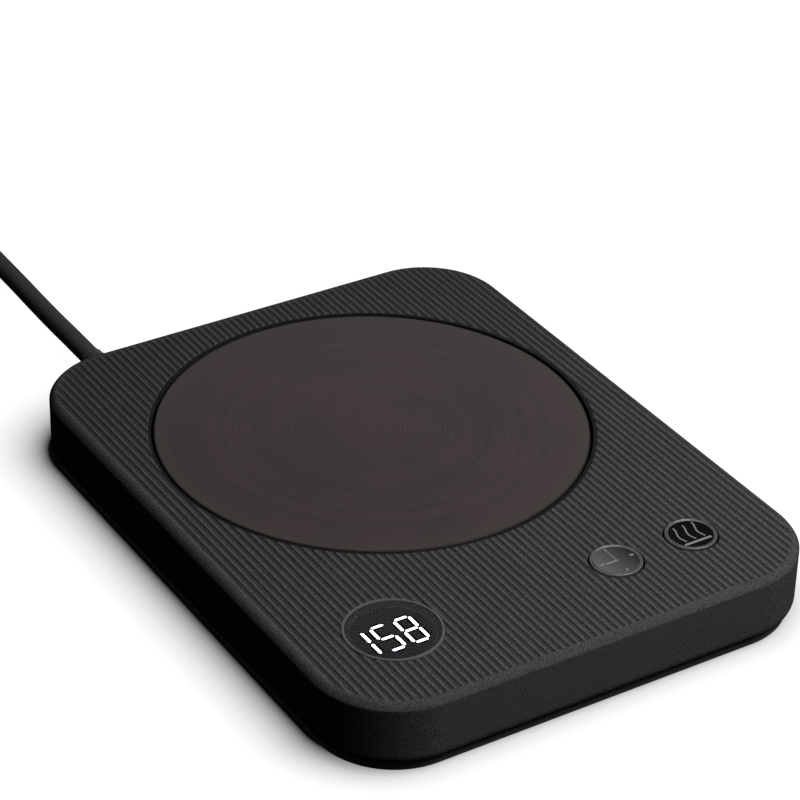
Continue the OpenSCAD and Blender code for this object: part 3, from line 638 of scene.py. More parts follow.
@dataclass(frozen=True)
class SolderMask(Finish):
    """Glass-fibre board under green lacquer, with the copper tracks showing through."""

    track: str = "#2f7a4a"
    step: float = 1.6
    uneven: float = 0.8
    band: float = 0.25
    width: float = 0.16
    edge: float = 0.03
    relief: float = 0.035

    def pattern(self, tree: Tree) -> Settings:
        """Draws tracks round irregular square cells, a little raised.

        Args:
            tree: The material's tree.

        Returns:
            The shader's colour and normal.
        """
        squares = {"feature": "F2", "distance": "CHEBYCHEV", "Randomness": self.uneven}
        squares |= {"Vector": in_mm(tree), "Scale": 1 / self.step}
        cells = add(tree, "TexVoronoi", squares)["Distance"]
        bands = add(tree, "Math", {"operation": "PINGPONG", 0: cells, 1: self.band})[0]
        ends = span(self.width - self.edge, self.width)
        tracks = add(tree, "MapRange", {"Value": bands, **ends})["Result"]
        return two_toned(tree, tracks, (self.colour, self.track), tracks, self.relief)


@dataclass(frozen=True)
class EtchedFilm(Finish):
    """Amber polyimide film over an etched heater track that runs in rings."""

    track: str = "#6e5a45"
    centre: Place = (0.0, 16.0)
    step: float = 2.4
    edge: float = 0.2
    relief: float = 0.03

    def pattern(self, tree: Tree) -> Settings:
        """Draws the rings of track, a little raised.

        Args:
            tree: The material's tree.

        Returns:
            The shader's colour and normal.
        """
        rings = wave(tree, from_axis(tree, self.centre), self.step)
        tracks = add(tree, "MapRange", {"Value": rings, **span(-self.edge, 0.0)})["Result"]
        return two_toned(tree, tracks, (self.colour, self.track), tracks, self.relief)


@dataclass(frozen=True)
class SweepPaper(Finish):
    """White background paper that glows, with short painted shadows round the part, coil and plug.
    """

    half: Place = (54.7, 70.7)
    edge_r: float = 17.2
    reach: float = 5.2
    lean: Point = (0.0, 4.5, 0.0)
    coil: Place = (-63.3, 168.0)
    coil_r: float = 27.0
    coil_edge: float = 8.6
    plug: Point = (-98.0, 125.0, 0.0)
    plug_half: Place = (9.0, 16.0)
    plug_edge: float = 2.0
    small_reach: float = 2.6
    dim: str = "#101010"
    glow: str = "#ffffff"

    def material(self) -> bpy.types.Material:
        """Builds the material once, and keeps its glow from lighting the part.

        Returns:
            The material.
        """
        made = super().material()
        made.cycles.emission_sampling = "NONE"
        return made

    def painted_shadow(self, tree: Tree, gap: Socket, edge: float, reach: float) -> Socket:
        """Gives a painted shadow that fades out past an edge.

        Args:
            tree: The material's tree.
            gap: The distance in mm from the middle of what throws the shadow.
            edge: The distance at which the shadow starts to fade.
            reach: How far it takes to fade to about a third.

        Returns:
            The shadow's depth, which passes 1 inside the edge.
        """
        ends = {1: -1 / reach, 2: edge / reach}
        fade = add(tree, "Math", {"operation": "MULTIPLY_ADD", 0: gap, **ends})[0]
        return add(tree, "Math", {"operation": "EXPONENT", 0: fade})[0]

    def painted_shadows(self, tree: Tree) -> Socket:
        """Sums the painted shadows of the body, the coil and the plug.

        Args:
            tree: The material's tree.

        Returns:
            Their depth in all.
        """
        core = (self.half[0] - self.edge_r, self.half[1] - self.edge_r)
        gap = outside(tree, in_mm(tree, self.lean), core)
        body = self.painted_shadow(tree, gap, self.edge_r, self.reach)
        out = from_axis(tree, self.coil)
        off = add(tree, "Math", {"operation": "SUBTRACT", 0: out, 1: self.coil_r})[0]
        gap = add(tree, "Math", {"operation": "ABSOLUTE", 0: off})[0]
        coil = self.painted_shadow(tree, gap, self.coil_edge, self.small_reach)
        gap = outside(tree, in_mm(tree, self.plug), self.plug_half)
        plug = self.painted_shadow(tree, gap, self.plug_edge, self.small_reach)
        both = add(tree, "Math", {"operation": "ADD", 0: body, 1: coil})[0]
        return add(tree, "Math", {"operation": "ADD", 0: both, 1: plug})[0]

    def pattern(self, tree: Tree) -> Settings:
        """Splits what the floor shows from what it throws back on the part.

        Args:
            tree: The material's tree.

        Returns:
            The shader's colour and glow.
        """
        left = {"operation": "SUBTRACT", "use_clamp": True, 0: 1.0, 1: self.painted_shadows(tree)}
        glow = add(tree, "Math", left)[0]
        thrown = add(tree, "LightPath")["Is Diffuse Ray"]
        tones = {0: thrown, COLOUR_A: linear(self.colour), COLOUR_B: linear(self.dim)}
        tint = add(tree, "Mix", {"data_type": "RGBA", **tones})[MIXED]
        seen = add(tree, "Math", {"operation": "SUBTRACT", 0: 1.0, 1: thrown})[0]
        level = add(tree, "Math", {"operation": "MULTIPLY", 0: glow, 1: seen})[0]
        return {"Base Color": tint, "Emission Color": linear(self.glow), "Emission Strength": level}


# Spark-eroded ABS: an even matt charcoal with a fine speckle and no mirror image
# Its ribs carry a painted highlight and painted shade, and the land round the well a painted shadow
SHELL_ABS = RibbedAbs(
    "spark_eroded_abs_charcoal", "#232123", 0.72, specular=0.0, pale="#504d50",
    grain=0.26, relief=0.02,
)
# Black ABS from a plainer tool: dark grey, even in tone and a little smoother
BASE_ABS = Grained(
    "moulded_abs_black", "#3a383a", 0.6, specular=0.01, pale="#454345", grain=0.35, relief=0.01
)
# PTFE-coated turned aluminium: dull brown with fine rings, and a cooler band at the rim
# Its outermost rim carries a painted shadow
PLATE_COATING = TurnedCoating("ptfe_coated_turned_aluminium", "#2b2626", 0.5, specular=0.1)
# Silicone seal: soft and dull, with a dusty surface
SILICONE = Grained(
    "moulded_silicone_grey", "#565250", 0.7, specular=0.25, pale="#615d5a", grain=0.4
)
# Etched heater film: amber, half glossy, with the track as darker rings
HEATER_FILM = EtchedFilm("polyimide_heater_film", "#b8742e", 0.3)
# Pressed mica: pale, scaly and dull, with glints
MICA = Grained(
    "pressed_mica", "#b9b09c", 0.55, pale="#d8d2c2", grain=1.2, relief=0.05, uneven=0.15
)
# Zinc-plated rolled steel: cool grey with fine streaks
ZINC_STEEL = WorkedMetal("zinc_plated_steel", "#b9bcc0", 0.34, metallic=1.0, dark="#8d9196")
# Nickel-plated screw steel: brighter, with turning marks
SCREW_STEEL = WorkedMetal(
    "nickel_plated_screw_steel", "#b4b4b8", 0.28, metallic=1.0, dark="#85868a",
    stretch=(1.0, 1.0, 0.1),
)
# Stamped brass: yellowish metal, polished by the socket
BLADE_BRASS = WorkedMetal("stamped_brass", "#c9b071", 0.26, metallic=1.0, dark="#a08749")
# Turned and anodised aluminium: soft grey rings of light, never mirror-bright
RIM_METAL = WorkedMetal(
    "turned_anodised_aluminium", "#5e5e60", 0.55, metallic=1.0, dark="#4e4e50", streak=0.2,
    stretch=(1.0, 1.0, 1.0),
)
# Satin-painted ABS trim: dark grey, a step lighter than the deck
TRIM_ABS = Grained(
    "satin_painted_abs", "#444244", 0.5, specular=0.1, pale="#524f52", grain=0.3, relief=0.004
)
# Cast smoked acrylic: a thin grey tint, glossy, with a mirror image too faint to notice
SMOKED_ACRYLIC = SmokedAcrylic("smoked_acrylic", "#d0cdd0", 0.02, ior=1.08)
# Matt screen print on the mask: flat charcoal, made a little paler by a painted glow
MASK_PRINT = GlowPaintedPrint(
    "screen_printed_charcoal", "#161516", 0.9, specular=0.0, pale="#1a191a", grain=0.15
)
# Bare print between the bars: deep black
GAP_PRINT = Grained(
    "screen_printed_deep_black", "#040404", 0.95, specular=0.0, pale="#060606", grain=0.15
)
# Lit light guide: even, cold white
LIT_SEGMENT = LitDiffuser("lit_light_guide", "#fbfbff", 0.6, glow=1.45)
# Dark light guide: as dark as the mask, with the same painted glow, so that only lit bars show
DARK_SEGMENT = GlowPaintedPrint(
    "dark_light_guide", "#161516", 0.9, specular=0.0, pale="#1b1a1b", grain=0.3, painted_glow=0.028
)
# Reflector case of the display: plain white moulding
LED_CASE = Grained("moulded_pbt_white", "#d9d9d4", 0.5, pale="#e2e2de", grain=0.3)
# Lacquered face film of the timer button: grey, with a painted reflection from light to dark
TIMER_FACE = PaintedReflectionFilm(
    "lacquered_face_film_grey", "#565557", 0.45, specular=0.03, far="#19181a",
    centre=(16.1, -51.4), toward=(0.99, 0.1),
)
# Lacquered face film of the heat button: deep black, with a faint painted reflection
HEAT_FACE = PaintedReflectionFilm(
    "lacquered_face_film_black", "#0a090b", 0.45, specular=0.01, far="#050406",
    centre=(34.6, -51.4),
)
# Printed silver ink: a soft mid grey with a slight grain
SILVER_INK = Grained(
    "printed_silver_ink", "#6a696c", 0.5, specular=0.05, pale="#7b7a7d", grain=0.15, relief=0.004
)
# Printed grey ink: the same tone over the black face
GREY_INK = Grained(
    "printed_grey_ink", "#6c6b6e", 0.5, specular=0.05, pale="#7d7c7f", grain=0.15, relief=0.004
)
# Glass-filled nylon of the switches: black and dull
SWITCH_NYLON = Grained("glass_filled_nylon_black", "#1d1d1e", 0.6, pale="#262627", grain=0.3)
# Coloured acetal of the stems: clean red, slippery
STEM_ACETAL = Grained("moulded_acetal_red", "#7d1f1a", 0.4, pale="#8b2a24", grain=0.4)
# Lacquered glass-fibre board: deep green with raised tracks
BOARD_GREEN = SolderMask("solder_mask_green", "#12512e", 0.35)
# Moulded epoxy of the chips: black with a fine matt skin
CHIP_EPOXY = Grained("moulded_epoxy_black", "#161617", 0.55, pale="#202021", grain=0.12)
# Shrunk PVC sleeve of the capacitor: dark blue and shiny
CAPACITOR_SLEEVE = Grained("shrunk_pvc_blue", "#1a2450", 0.25, pale="#212c5c", grain=1.5)
# Dipped lacquer of the film capacitor: mustard yellow and shiny
FILM_LACQUER = Grained("dipped_epoxy_yellow", "#b58a1f", 0.25, pale="#c2972a", grain=1.2)
# Polyamide of the terminal block: flat green
TERMINAL_GREEN = Grained("moulded_polyamide_green", "#2f6b33", 0.5, pale="#387a3c", grain=0.4)
# Ceramic fuse case: chalky off-white
FUSE_CERAMIC = Grained("fired_ceramic_white", "#cfcbc0", 0.6, pale="#dcd9cf", grain=0.3)
# Dipped epoxy bead of the sensor: glossy dark green
SENSOR_EPOXY = Grained("dipped_epoxy_green", "#1f4034", 0.2, pale="#27493d", grain=0.8)
# Silicone leads: dull, saturated colours
LEAD_RED = Grained("extruded_silicone_red", "#a3261d", 0.55, pale="#b0322a", grain=0.5)
LEAD_WHITE = Grained("extruded_silicone_white", "#d5d4cf", 0.55, pale="#e0dfdb", grain=0.5)
LEAD_BLUE = Grained("extruded_pvc_blue", "#234b8c", 0.45, pale="#2c569a", grain=0.5)
# Moulded nylon of the cord clamp: dark grey with a slight sheen
CLAMP_NYLON = Grained("moulded_nylon_grey", "#3a3a3b", 0.5, pale="#444445", grain=0.4)
# Extruded PVC jacket: matt and soft, with a faint bloom
PVC_JACKET = Grained(
    "extruded_pvc_black", "#424042", 0.6, specular=0.0, pale="#4d4b4d", grain=0.4, relief=0.02
)
# Moulded soft PVC of the plug and the sleeve: as dark as the cord, a little smoother
PLUG_PVC = Grained(
    "moulded_soft_pvc_black", "#3b3a3b", 0.5, specular=0.02, pale="#434243", grain=0.4, relief=0.01
)
# Moulded rubber of the feet: dull and almost without a highlight
RUBBER = Grained(
    "moulded_rubber_black", "#1f1e1f", 0.8, specular=0.1, pale="#282728", grain=0.4, relief=0.02
)
# Woven nylon tape: black threads with dark gaps
TIE_NYLON = Woven("woven_nylon_black", "#333234", 0.65, specular=0.2)
# Lit paper: white from its own glow, and otherwise grey, so that shadows stay soft
# Its glow fades near the part, the coil and the plug, which paints their shadows
FLOOR_PAPER = SweepPaper("lit_paper", "#6a6a6a", 1.0, specular=0.0)


def dress(finishes: dict[str, Finish]) -> None:
    """Gives carried-over pieces their finishes.

    Args:
        finishes: A finish for each node's name.
    """
    for node, finish in finishes.items():
        for slot in bpy.data.objects[node].material_slots:
            slot.material = finish.material()
        LOG.info("%s: %s", node, finish.name)


# ---- Meshes ----


def smooth(piece: bpy.types.Object, crease: float) -> None:
    """Shades a mesh smooth, apart from its edges over the crease angle in degrees."""
    piece.data.shade_smooth()
    piece.data.set_sharp_from_angle(angle=math.radians(crease))


def new_piece(name: str, mesh: Mesh, finish: Finish, crease: float = CREASE) -> bpy.types.Object:
    """Makes a mesh object from millimetres.

    Args:
        name: The piece's name.
        mesh: Its points in mm and its faces.
        finish: Its finish.
        crease: The angle in degrees from which an edge shows as an edge.

    Returns:
        The new object.
    """
    vertices, faces = mesh
    data = bpy.data.meshes.new(name)
    data.from_pydata([tuple(c * MM for c in v) for v in vertices], [], faces)
    data.validate()
    piece = bpy.data.objects.new(name, data)
    bpy.context.scene.collection.objects.link(piece)
    smooth(piece, crease)
    data.materials.append(finish.material())
    return piece


def seat(piece: bpy.types.Object, body: Body, slot: Slot, *nodes: str) -> bpy.types.Object:
    """Puts a piece on its body and hides the nodes that it stands for.

    Args:
        piece: The piece.
        body: The body that it rides on.
        slot: The slot of its finish. It is not used.
        nodes: The nodes that it stands for.

    Returns:
        The piece.
    """
    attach(piece, body.value)
    if nodes:
        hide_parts(*nodes)
    LOG.info("%s on %s", piece.name, body.value)
    return piece


def joined(meshes: Sequence[Mesh]) -> Mesh:
    """Puts several meshes into one.

    Args:
        meshes: The meshes.

    Returns:
        The points and the faces.
    """
    vertices: list[Point] = []
    faces: list[list[int]] = []
    for points, sides in meshes:
        start = len(vertices)
        vertices += points
        faces += [[start + i for i in side] for side in sides]
    return vertices, faces


def lathe(profile: Line, centre: Place = (0.0, 0.0), steps: int = RIM, gap: float = 0.0) -> Mesh:
    """Turns a closed profile round an upright axis.

    Args:
        profile: Corners as (radius, height), counter-clockwise. A radius of 0 is on the axis.
        centre: The axis, as x and y.
        steps: Steps in one turn.
        gap: Degrees that are left out round the front, with both ends closed.

    Returns:
        The points and the faces.
    """
    sweep = math.radians(360 - gap)
    start = math.radians(gap / 2) - math.pi / 2
    around = steps + 1 if gap else steps
    vertices: list[Point] = []
    rings: list[list[int]] = []
    for radius, height in profile:
        count = 1 if radius == 0 else around
        rings.append([len(vertices) + k for k in range(count)])
        for k in range(count):
            angle = start + sweep * k / steps
            x = centre[0] + radius * math.cos(angle)
            y = centre[1] + radius * math.sin(angle)
            vertices.append((x, y, height))
    faces: list[list[int]] = []
    for low, high in zip(rings, rings[1:] + rings[:1]):
        if len(low) == 1 and len(high) == 1:
            continue
        for k in range(steps):
            n = (k + 1) % around
            corners = [low[k % len(low)], low[n % len(low)]]
            corners += [high[n % len(high)], high[k % len(high)]]
            faces.append(list(dict.fromkeys(corners)))
    if gap:
        faces.append([ring[0] for ring in rings])
        faces.append([ring[-1] for ring in rings[::-1]])
    return vertices, faces


def looped(rings: Sequence[Sequence[Point]]) -> Mesh:
    """Joins closed lines of points, each to the next and the last to the first.

    Args:
        rings: The lines, which have equally many points.

    Returns:
        The points and the faces.
    """
    count = len(rings[0])
    faces = [
        [a * count + k, a * count + (k + 1) % count, b * count + (k + 1) % count, b * count + k]
        for a, b in zip(range(len(rings)), [*range(1, len(rings)), 0])
        for k in range(count)
    ]
    return [point for ring in rings for point in ring], faces


def slab(outline: Line, low: float, high: float) -> Mesh:
    """Raises a flat outline to a closed plate.

    Args:
        outline: Its corners, counter-clockwise from above.
        low: The height of its underside.
        high: The height of its top.

    Returns:
        The points and the faces.
    """
    count = len(outline)
    vertices = [(x, y, z) for z in (low, high) for x, y in outline]
    sides = [[k, (k + 1) % count, count + (k + 1) % count, count + k] for k in range(count)]
    return vertices, [list(range(count))[::-1], list(range(count, 2 * count)), *sides]


def stroke(path: Line, width: float, low: float, high: float) -> Mesh:
    """Draws a raised line with round ends.

    Args:
        path: Its middle line.
        width: Its width.
        low: The height of its underside.
        high: The height of its top.

    Returns:
        The points and the faces.
    """
    half, steps = width / 2, 6
    sides: list[list[Place]] = [[], []]
    for i, (x, y) in enumerate(path):
        ahead, behind = path[min(i + 1, len(path) - 1)], path[max(i - 1, 0)]
        turn = math.atan2(ahead[1] - behind[1], ahead[0] - behind[0])
        sides[0].append((x + half * math.sin(turn), y - half * math.cos(turn)))
        sides[1].append((x - half * math.sin(turn), y + half * math.cos(turn)))
    outline = list(sides[0])
    for (x, y), (from_x, from_y), back in (
        (path[-1], sides[0][-1], sides[1][::-1]),
        (path[0], sides[1][0], []),
    ):
        first = math.atan2(from_y - y, from_x - x)
        for k in range(1, steps):
            angle = first + math.pi * k / steps
            outline.append((x + half * math.cos(angle), y + half * math.sin(angle)))
        outline += back
    return slab(outline, low, high)


def along_y(mesh: Mesh, x: float, z: float) -> Mesh:
    """Lays a turned mesh down, with its axis along y at x and z."""
    vertices, faces = mesh
    return [(x + px, pz, z - py) for px, py, pz in vertices], faces


def cut(piece: bpy.types.Object, tools: list[bpy.types.Object]) -> None:
    """Cuts solids from a mesh and deletes them.

    Args:
        piece: The mesh that changes.
        tools: The solids, which don't meet each other.
    """
    group = bpy.data.collections.new(f"{piece.name}_tools")
    for tool in tools:
        group.objects.link(tool)
    change = piece.modifiers.new("cut", "BOOLEAN")
    change.operation = "DIFFERENCE"
    change.operand_type = "COLLECTION"
    change.collection = group
    change.solver = "EXACT"
    graph = bpy.context.evaluated_depsgraph_get()
    mesh = bpy.data.meshes.new_from_object(piece.evaluated_get(graph))
    piece.modifiers.clear()
    old = piece.data
    piece.data = mesh
    bpy.data.meshes.remove(old)
    for tool in tools:
        bpy.data.meshes.remove(tool.data)
    bpy.data.collections.remove(group)


def weld_on(piece: bpy.types.Object, extra: bpy.types.Object) -> None:
    """Adds the mesh of one object to another and deletes the first.

    Args:
        piece: The object that keeps both meshes.
        extra: The object that goes.
    """
    both = bmesh.new()
    both.from_mesh(piece.data)
    both.from_mesh(extra.data)
    both.to_mesh(piece.data)
    both.free()
    bpy.data.meshes.remove(extra.data)


# ---- Top shell ----


@dataclass
class TopShell:
    """The moulded top: ribbed deck, soft bevel, wall with a rounded foot, seats and bosses."""

    corner_r: float = 18.5
    wall_t: float = 2.2
    deck_t: float = 2.0
    bevel_w: float = 1.6
    bevel_h: float = 1.3
    bevel_steps: int = 10
    end_angles: Sequence[float] = (1.5, 3.0, 4.5, 6.0, 7.5, 9.0)
    crease: float = 0.12
    lower_w: float = 1.3
    lower_h: float = 2.1
    lower_steps: int = 7
    rib_count: int = 66
    rib_depth: float = 0.25
    rib_power: int = 4
    crest_drop: float = 0.04
    rib_samples: int = 12
    rib_margin: float = 0.1
    run_out: float = 0.9
    run_out_steps: int = 8
    row_insets: Sequence[float] = (2.4, 4.0, 7.0, 11.0)
    row_middles: Sequence[float] = (-24.0, 0.0, 24.0)
    recess_r: float = 47.2
    ledge_r: float = 43.5
    ledge_low: float = 12.4
    ledge_high: float = 14.2
    well_r: float = 48.4
    land_w: float = 0.6
    land_drop: float = 0.02
    land_edge: Line = ((0.12, 0.06), (0.3, 0.3))
    land_flare: float = 0.4
    sight_r: float = 8.6
    seat_gap: float = 0.05
    button_gap: float = 0.42
    flare_h: float = 0.3
    flare_w: float = 0.2
    guide: tuple[float, float, float, float] = (6.795, 7.995, 12.6, 16.0)
    screw_inset: float = 12.0
    boss_r: float = 3.5
    pilot: Point = (1.15, 4.6, 11.1)
    board_boss: Point = (1.1, 2.5, 9.0)
    board_screws: Line = ((-42.5, -38.5), (42.5, -38.5), (-23.0, -60.5), (25.3, -60.5))
    sleeve_r: float = 3.55
    sleeve_z: float = 5.2
    sleeve_reach: float = 8.0
    root: float = 0.3
    under_cut: float = 1.0
    over: float = 0.5
    width: float = field(init=False)
    depth: float = field(init=False)
    low: float = field(init=False)
    high: float = field(init=False)

    def __post_init__(self) -> None:
        """Takes the overall sizes from the frame."""
        self.width, self.depth, _ = size_of("top_shell")
        self.low, self.high = heights_of("top_shell")

    @property
    def under(self) -> float:
        """Height of the deck's underside."""
        return self.high - self.deck_t

    @property
    def half_x(self) -> float:
        """Half the width inside the bevel."""
        return self.width / 2 - self.bevel_w

    @property
    def half_y(self) -> float:
        """Half the depth inside the bevel."""
        return self.depth / 2 - self.bevel_w

    @property
    def field_r(self) -> float:
        """Corner radius inside the bevel."""
        return self.corner_r - self.bevel_w

    def reach(self, x: float) -> float:
        """Gives half the depth inside the bevel at x."""
        past = max(abs(x) - (self.half_x - self.field_r), 0.0)
        return self.half_y - self.field_r + math.sqrt(max(self.field_r**2 - past**2, 0.0))

    def inside(self, x: float, y: float) -> float:
        """Measures how far a point of the deck is from the bevel.

        Args:
            x: The point's x.
            y: The point's y.

        Returns:
            The distance in mm.
        """
        past_x = abs(x) - (self.half_x - self.field_r)
        past_y = abs(y) - (self.half_y - self.field_r)
        if past_x > 0 and past_y > 0:
            return self.field_r - math.hypot(past_x, past_y)
        return self.field_r - max(past_x, past_y)

    def deck_z(self, x: float, y: float) -> float:
        """Gives the height of the ribbed deck.

        Args:
            x: The point's x.
            y: The point's y.

        Returns:
            The height in mm.
        """
        step = 2 * self.half_x / self.rib_count
        phase = 2 * ((x / step) % 1.0) - 1
        sink = smoothstep((self.inside(x, y) - self.rib_margin) / self.run_out)
        return self.high - sink * (self.crest_drop + self.rib_depth * phase**self.rib_power)

    def columns(self) -> list[float]:
        """Places the columns of points: even over the ribs and close at both ends.

        Returns:
            The x of each column.
        """
        count = self.rib_count * self.rib_samples
        places = {round(2 * self.half_x * i / count - self.half_x, 6) for i in range(count + 1)}
        for degrees in self.end_angles:
            near = self.half_x - self.field_r * (1 - math.cos(math.radians(degrees)))
            places |= {round(near, 6), round(-near, 6)}
        return sorted(places)

    def rows(self, end: float) -> list[float]:
        """Places the rows of points of a column: close where the ribs run out.

        Args:
            end: Half the column's length.

        Returns:
            The y of each row.
        """
        steps = self.run_out_steps
        fade = [self.rib_margin + self.run_out * k / steps for k in range(steps + 1)]
        insets = [0.0, self.rib_margin / 2, *fade, *self.row_insets]
        return [i - end for i in insets] + [*self.row_middles] + [end - i for i in insets[::-1]]

    def skin(self) -> Line:
        """Leads down from the bevel's inner edge, over the wall and up inside.

        Returns:
            The steps as (inset, height).
        """
        steps = []
        for i in range(1, self.bevel_steps):
            t = 1 - i / self.bevel_steps
            steps.append((self.bevel_w * t, self.high - self.bevel_h * (1 - t) ** 2))
        corner = self.high - self.bevel_h
        steps += [(self.crease / 8, corner), (0.0, corner - self.crease)]
        steps += [(0.0, corner - 2 * self.crease), (0.0, self.low + self.lower_h + self.crease)]
        for i in range(self.lower_steps + 1):
            angle = math.pi / 2 * (1 - i / self.lower_steps)
            inset = self.lower_w * (1 - math.sin(angle))
            steps.append((inset, self.low + self.lower_h * (1 - math.cos(angle))))
        return steps + [(self.wall_t, self.low), (self.wall_t, self.under)]

    def outward(self, x: float, y: float) -> Place:
        """Finds the outward direction at a point on the bevel's inner edge.

        Args:
            x: The point's x.
            y: The point's y.

        Returns:
            The direction, with a length of 1.
        """
        past_x = max(abs(x) - (self.half_x - self.field_r), 0.0)
        past_y = max(abs(y) - (self.half_y - self.field_r), 0.0)
        size = math.hypot(past_x, past_y)
        return math.copysign(past_x / size, x), math.copysign(past_y / size, y)

    def hull(self) -> Mesh:
        """Builds the closed shell without its seats and holes.

        Returns:
            The points and the faces.
        """
        vertices: list[Point] = []
        grid: list[list[int]] = []
        for x in self.columns():
            rows = self.rows(self.reach(x))
            grid.append([len(vertices) + k for k in range(len(rows))])
            vertices += [(x, y, self.deck_z(x, y)) for y in rows]
        faces = [
            [left[k], right[k], right[k + 1], left[k + 1]]
            for left, right in zip(grid, grid[1:])
            for k in range(len(left) - 1)
        ]
        ring = [c[0] for c in grid] + grid[-1][1:-1] + [c[-1] for c in grid[::-1]]
        ring += grid[0][-2:0:-1]
        plan = [(vertices[i][:2], self.outward(*vertices[i][:2])) for i in ring]
        for inset, height in self.skin():
            grow = self.bevel_w - inset
            start = len(vertices)
            vertices += [(x + grow * u, y + grow * v, height) for (x, y), (u, v) in plan]
            step = list(range(start, len(vertices)))
            faces += [[ring[i - 1], step[i - 1], step[i], ring[i]] for i in range(len(ring))]
            ring = step
        faces.append(ring)
        return vertices, faces

    def holes(self) -> list[Mesh]:
        """Builds the solids that the recess, the display's seat and the holes take away.

        Returns:
            The meshes.
        """
        deep, brim = self.under - self.under_cut, self.high - self.flare_h
        top = self.high + self.over
        land_z = self.high - self.crest_drop - self.rib_depth - self.land_drop
        land_r = self.recess_r + self.land_w
        edge = [(land_r + out, land_z + up) for out, up in self.land_edge]
        recess = [
            (0, deep), (self.recess_r, deep), (self.recess_r, land_z), (land_r, land_z), *edge,
            (land_r + self.land_flare, top), (0, top),
        ]
        seat_r = size_of("display_ring")[0] / 2 + self.seat_gap
        shelf = heights_of("display_ring")[0]
        window = [
            (0, deep), (self.sight_r, deep), (self.sight_r, shelf), (seat_r, shelf),
            (seat_r, brim), (seat_r + self.flare_w, top), (0, top),
        ]
        solids = [
            lathe(recess, middle_of("heating_plate"), WIDE),
            lathe(window, middle_of("display_ring")),
        ]
        for rim in ("timer_button_rim", "heat_button_rim"):
            hole_r = size_of(rim)[0] / 2 + self.button_gap
            mouth = [(hole_r, brim), (hole_r + self.flare_w, top), (0, top)]
            solids.append(lathe([(0, deep), (hole_r, deep), *mouth], middle_of(rim), HOLE))
        near, far = self.depth / 2 - self.sleeve_reach, self.depth / 2 + self.sleeve_reach
        bore = [(0, near), (self.sleeve_r, near), (self.sleeve_r, far), (0, far)]
        exit_x = middle_of("strain_relief")[0]
        return [*solids, along_y(lathe(bore, steps=TUBE), exit_x, self.sleeve_z)]

    def inner_works(self) -> list[Mesh]:
        """Builds the well under the plate, the screw bosses and the buttons' guides.

        Returns:
            The meshes.
        """
        foot = self.under + self.root
        well = [
            (self.ledge_r, self.ledge_low), (self.well_r, self.ledge_low), (self.well_r, foot),
            (self.recess_r + self.root, foot), (self.recess_r, self.under),
            (self.recess_r, self.ledge_high), (self.ledge_r, self.ledge_high),
        ]
        solids = [lathe(well, middle_of("heating_plate"), WIDE)]
        pilot_r, pilot_low, pilot_high = self.pilot
        boss = [
            (pilot_r, pilot_low), (self.boss_r, pilot_low), (self.boss_r, foot), (0, foot),
            (0, pilot_high), (pilot_r, pilot_high),
        ]
        far_x, far_y = self.width / 2 - self.screw_inset, self.depth / 2 - self.screw_inset
        solids += [lathe(boss, (x, y), BOSS) for x in (-far_x, far_x) for y in (-far_y, far_y)]
        hole_r, out_r, low = self.board_boss
        post = [
            (hole_r, low), (out_r, low), (out_r, foot), (0, foot), (0, self.under),
            (hole_r, self.under),
        ]
        solids += [lathe(post, place, BOSS) for place in self.board_screws]
        in_r, out_r, low, gap = self.guide
        collar = [(in_r, low), (out_r, low), (out_r, foot), (in_r, foot)]
        for rim in ("timer_button_rim", "heat_button_rim"):
            solids.append(lathe(collar, middle_of(rim), HOLE, gap))
        return solids

    def build(self) -> None:
        """Builds the shell, which stands for its node."""
        shell = new_piece("deck_shell", self.hull(), SHELL_ABS)
        cut(shell, [new_piece("cutter", mesh, SHELL_ABS) for mesh in self.holes()])
        weld_on(shell, new_piece("inner_works", joined(self.inner_works()), SHELL_ABS))
        smooth(shell, CREASE)
        seat(shell, Body.HOUSING, Slot.SHELL, "top_shell")
        LOG.info("%s: %d faces", shell.name, len(shell.data.polygons))


# ---- Base ----


@dataclass
class Base:
    """The base cover with its feet and screws."""

    def build(self) -> None:
        """Dresses the base's pieces."""
        dress({"base_cover": BASE_ABS, "rubber_feet": RUBBER, "housing_screws": SCREW_STEEL})


# ---- Heater ----


@dataclass
class Heater:
    """The heating plate and the stack under it."""

    edge_r: float = 0.35
    edge_steps: int = 6
    crease: float = 50.0
    boss: Point = (2.8, 36.0, 12.4)
    hole_r: float = 1.3
    boss_angles: Sequence[float] = (30.0, 150.0, 270.0)
    root: float = 0.3

    def plate(self) -> None:
        """Builds the plate with a rolled edge and its screw bosses."""
        low, high = heights_of("heater_film")[1], heights_of("heating_plate")[1]
        radius = size_of("heating_plate")[0] / 2
        edge = []
        for k in range(self.edge_steps + 1):
            turn = math.pi / 2 * k / self.edge_steps
            inset = self.edge_r * (1 - math.cos(turn))
            edge.append((radius - inset, high - self.edge_r * (1 - math.sin(turn))))
        x, y = middle_of("heating_plate")
        solids = [lathe([(0, low), (radius, low), *edge, (0, high)], (x, y), WIDE)]
        boss_r, ring_r, boss_low = self.boss
        top = low + self.root
        tube = [
            (self.hole_r, boss_low), (boss_r, boss_low), (boss_r, top), (0, top), (0, low),
            (self.hole_r, low),
        ]
        for degrees in self.boss_angles:
            turn = math.radians(degrees)
            place = (x + ring_r * math.cos(turn), y + ring_r * math.sin(turn))
            solids.append(lathe(tube, place, BOSS))
        plate = new_piece("warming_plate", joined(solids), PLATE_COATING, self.crease)
        seat(plate, Body.HOUSING, Slot.PLATE, "heating_plate")

    def build(self) -> None:
        """Builds the plate and dresses the stack."""
        self.plate()
        dress(
            {
                "plate_seal": SILICONE,
                "heater_film": HEATER_FILM,
                "insulation_pad": MICA,
                "clamp_plate": ZINC_STEEL,
                "clamp_screws": SCREW_STEEL,
                "thermistor": SENSOR_EPOXY,
                "thermal_fuse": FUSE_CERAMIC,
                "fuse_clip": ZINC_STEEL,
            }
        )


# ---- Display ----


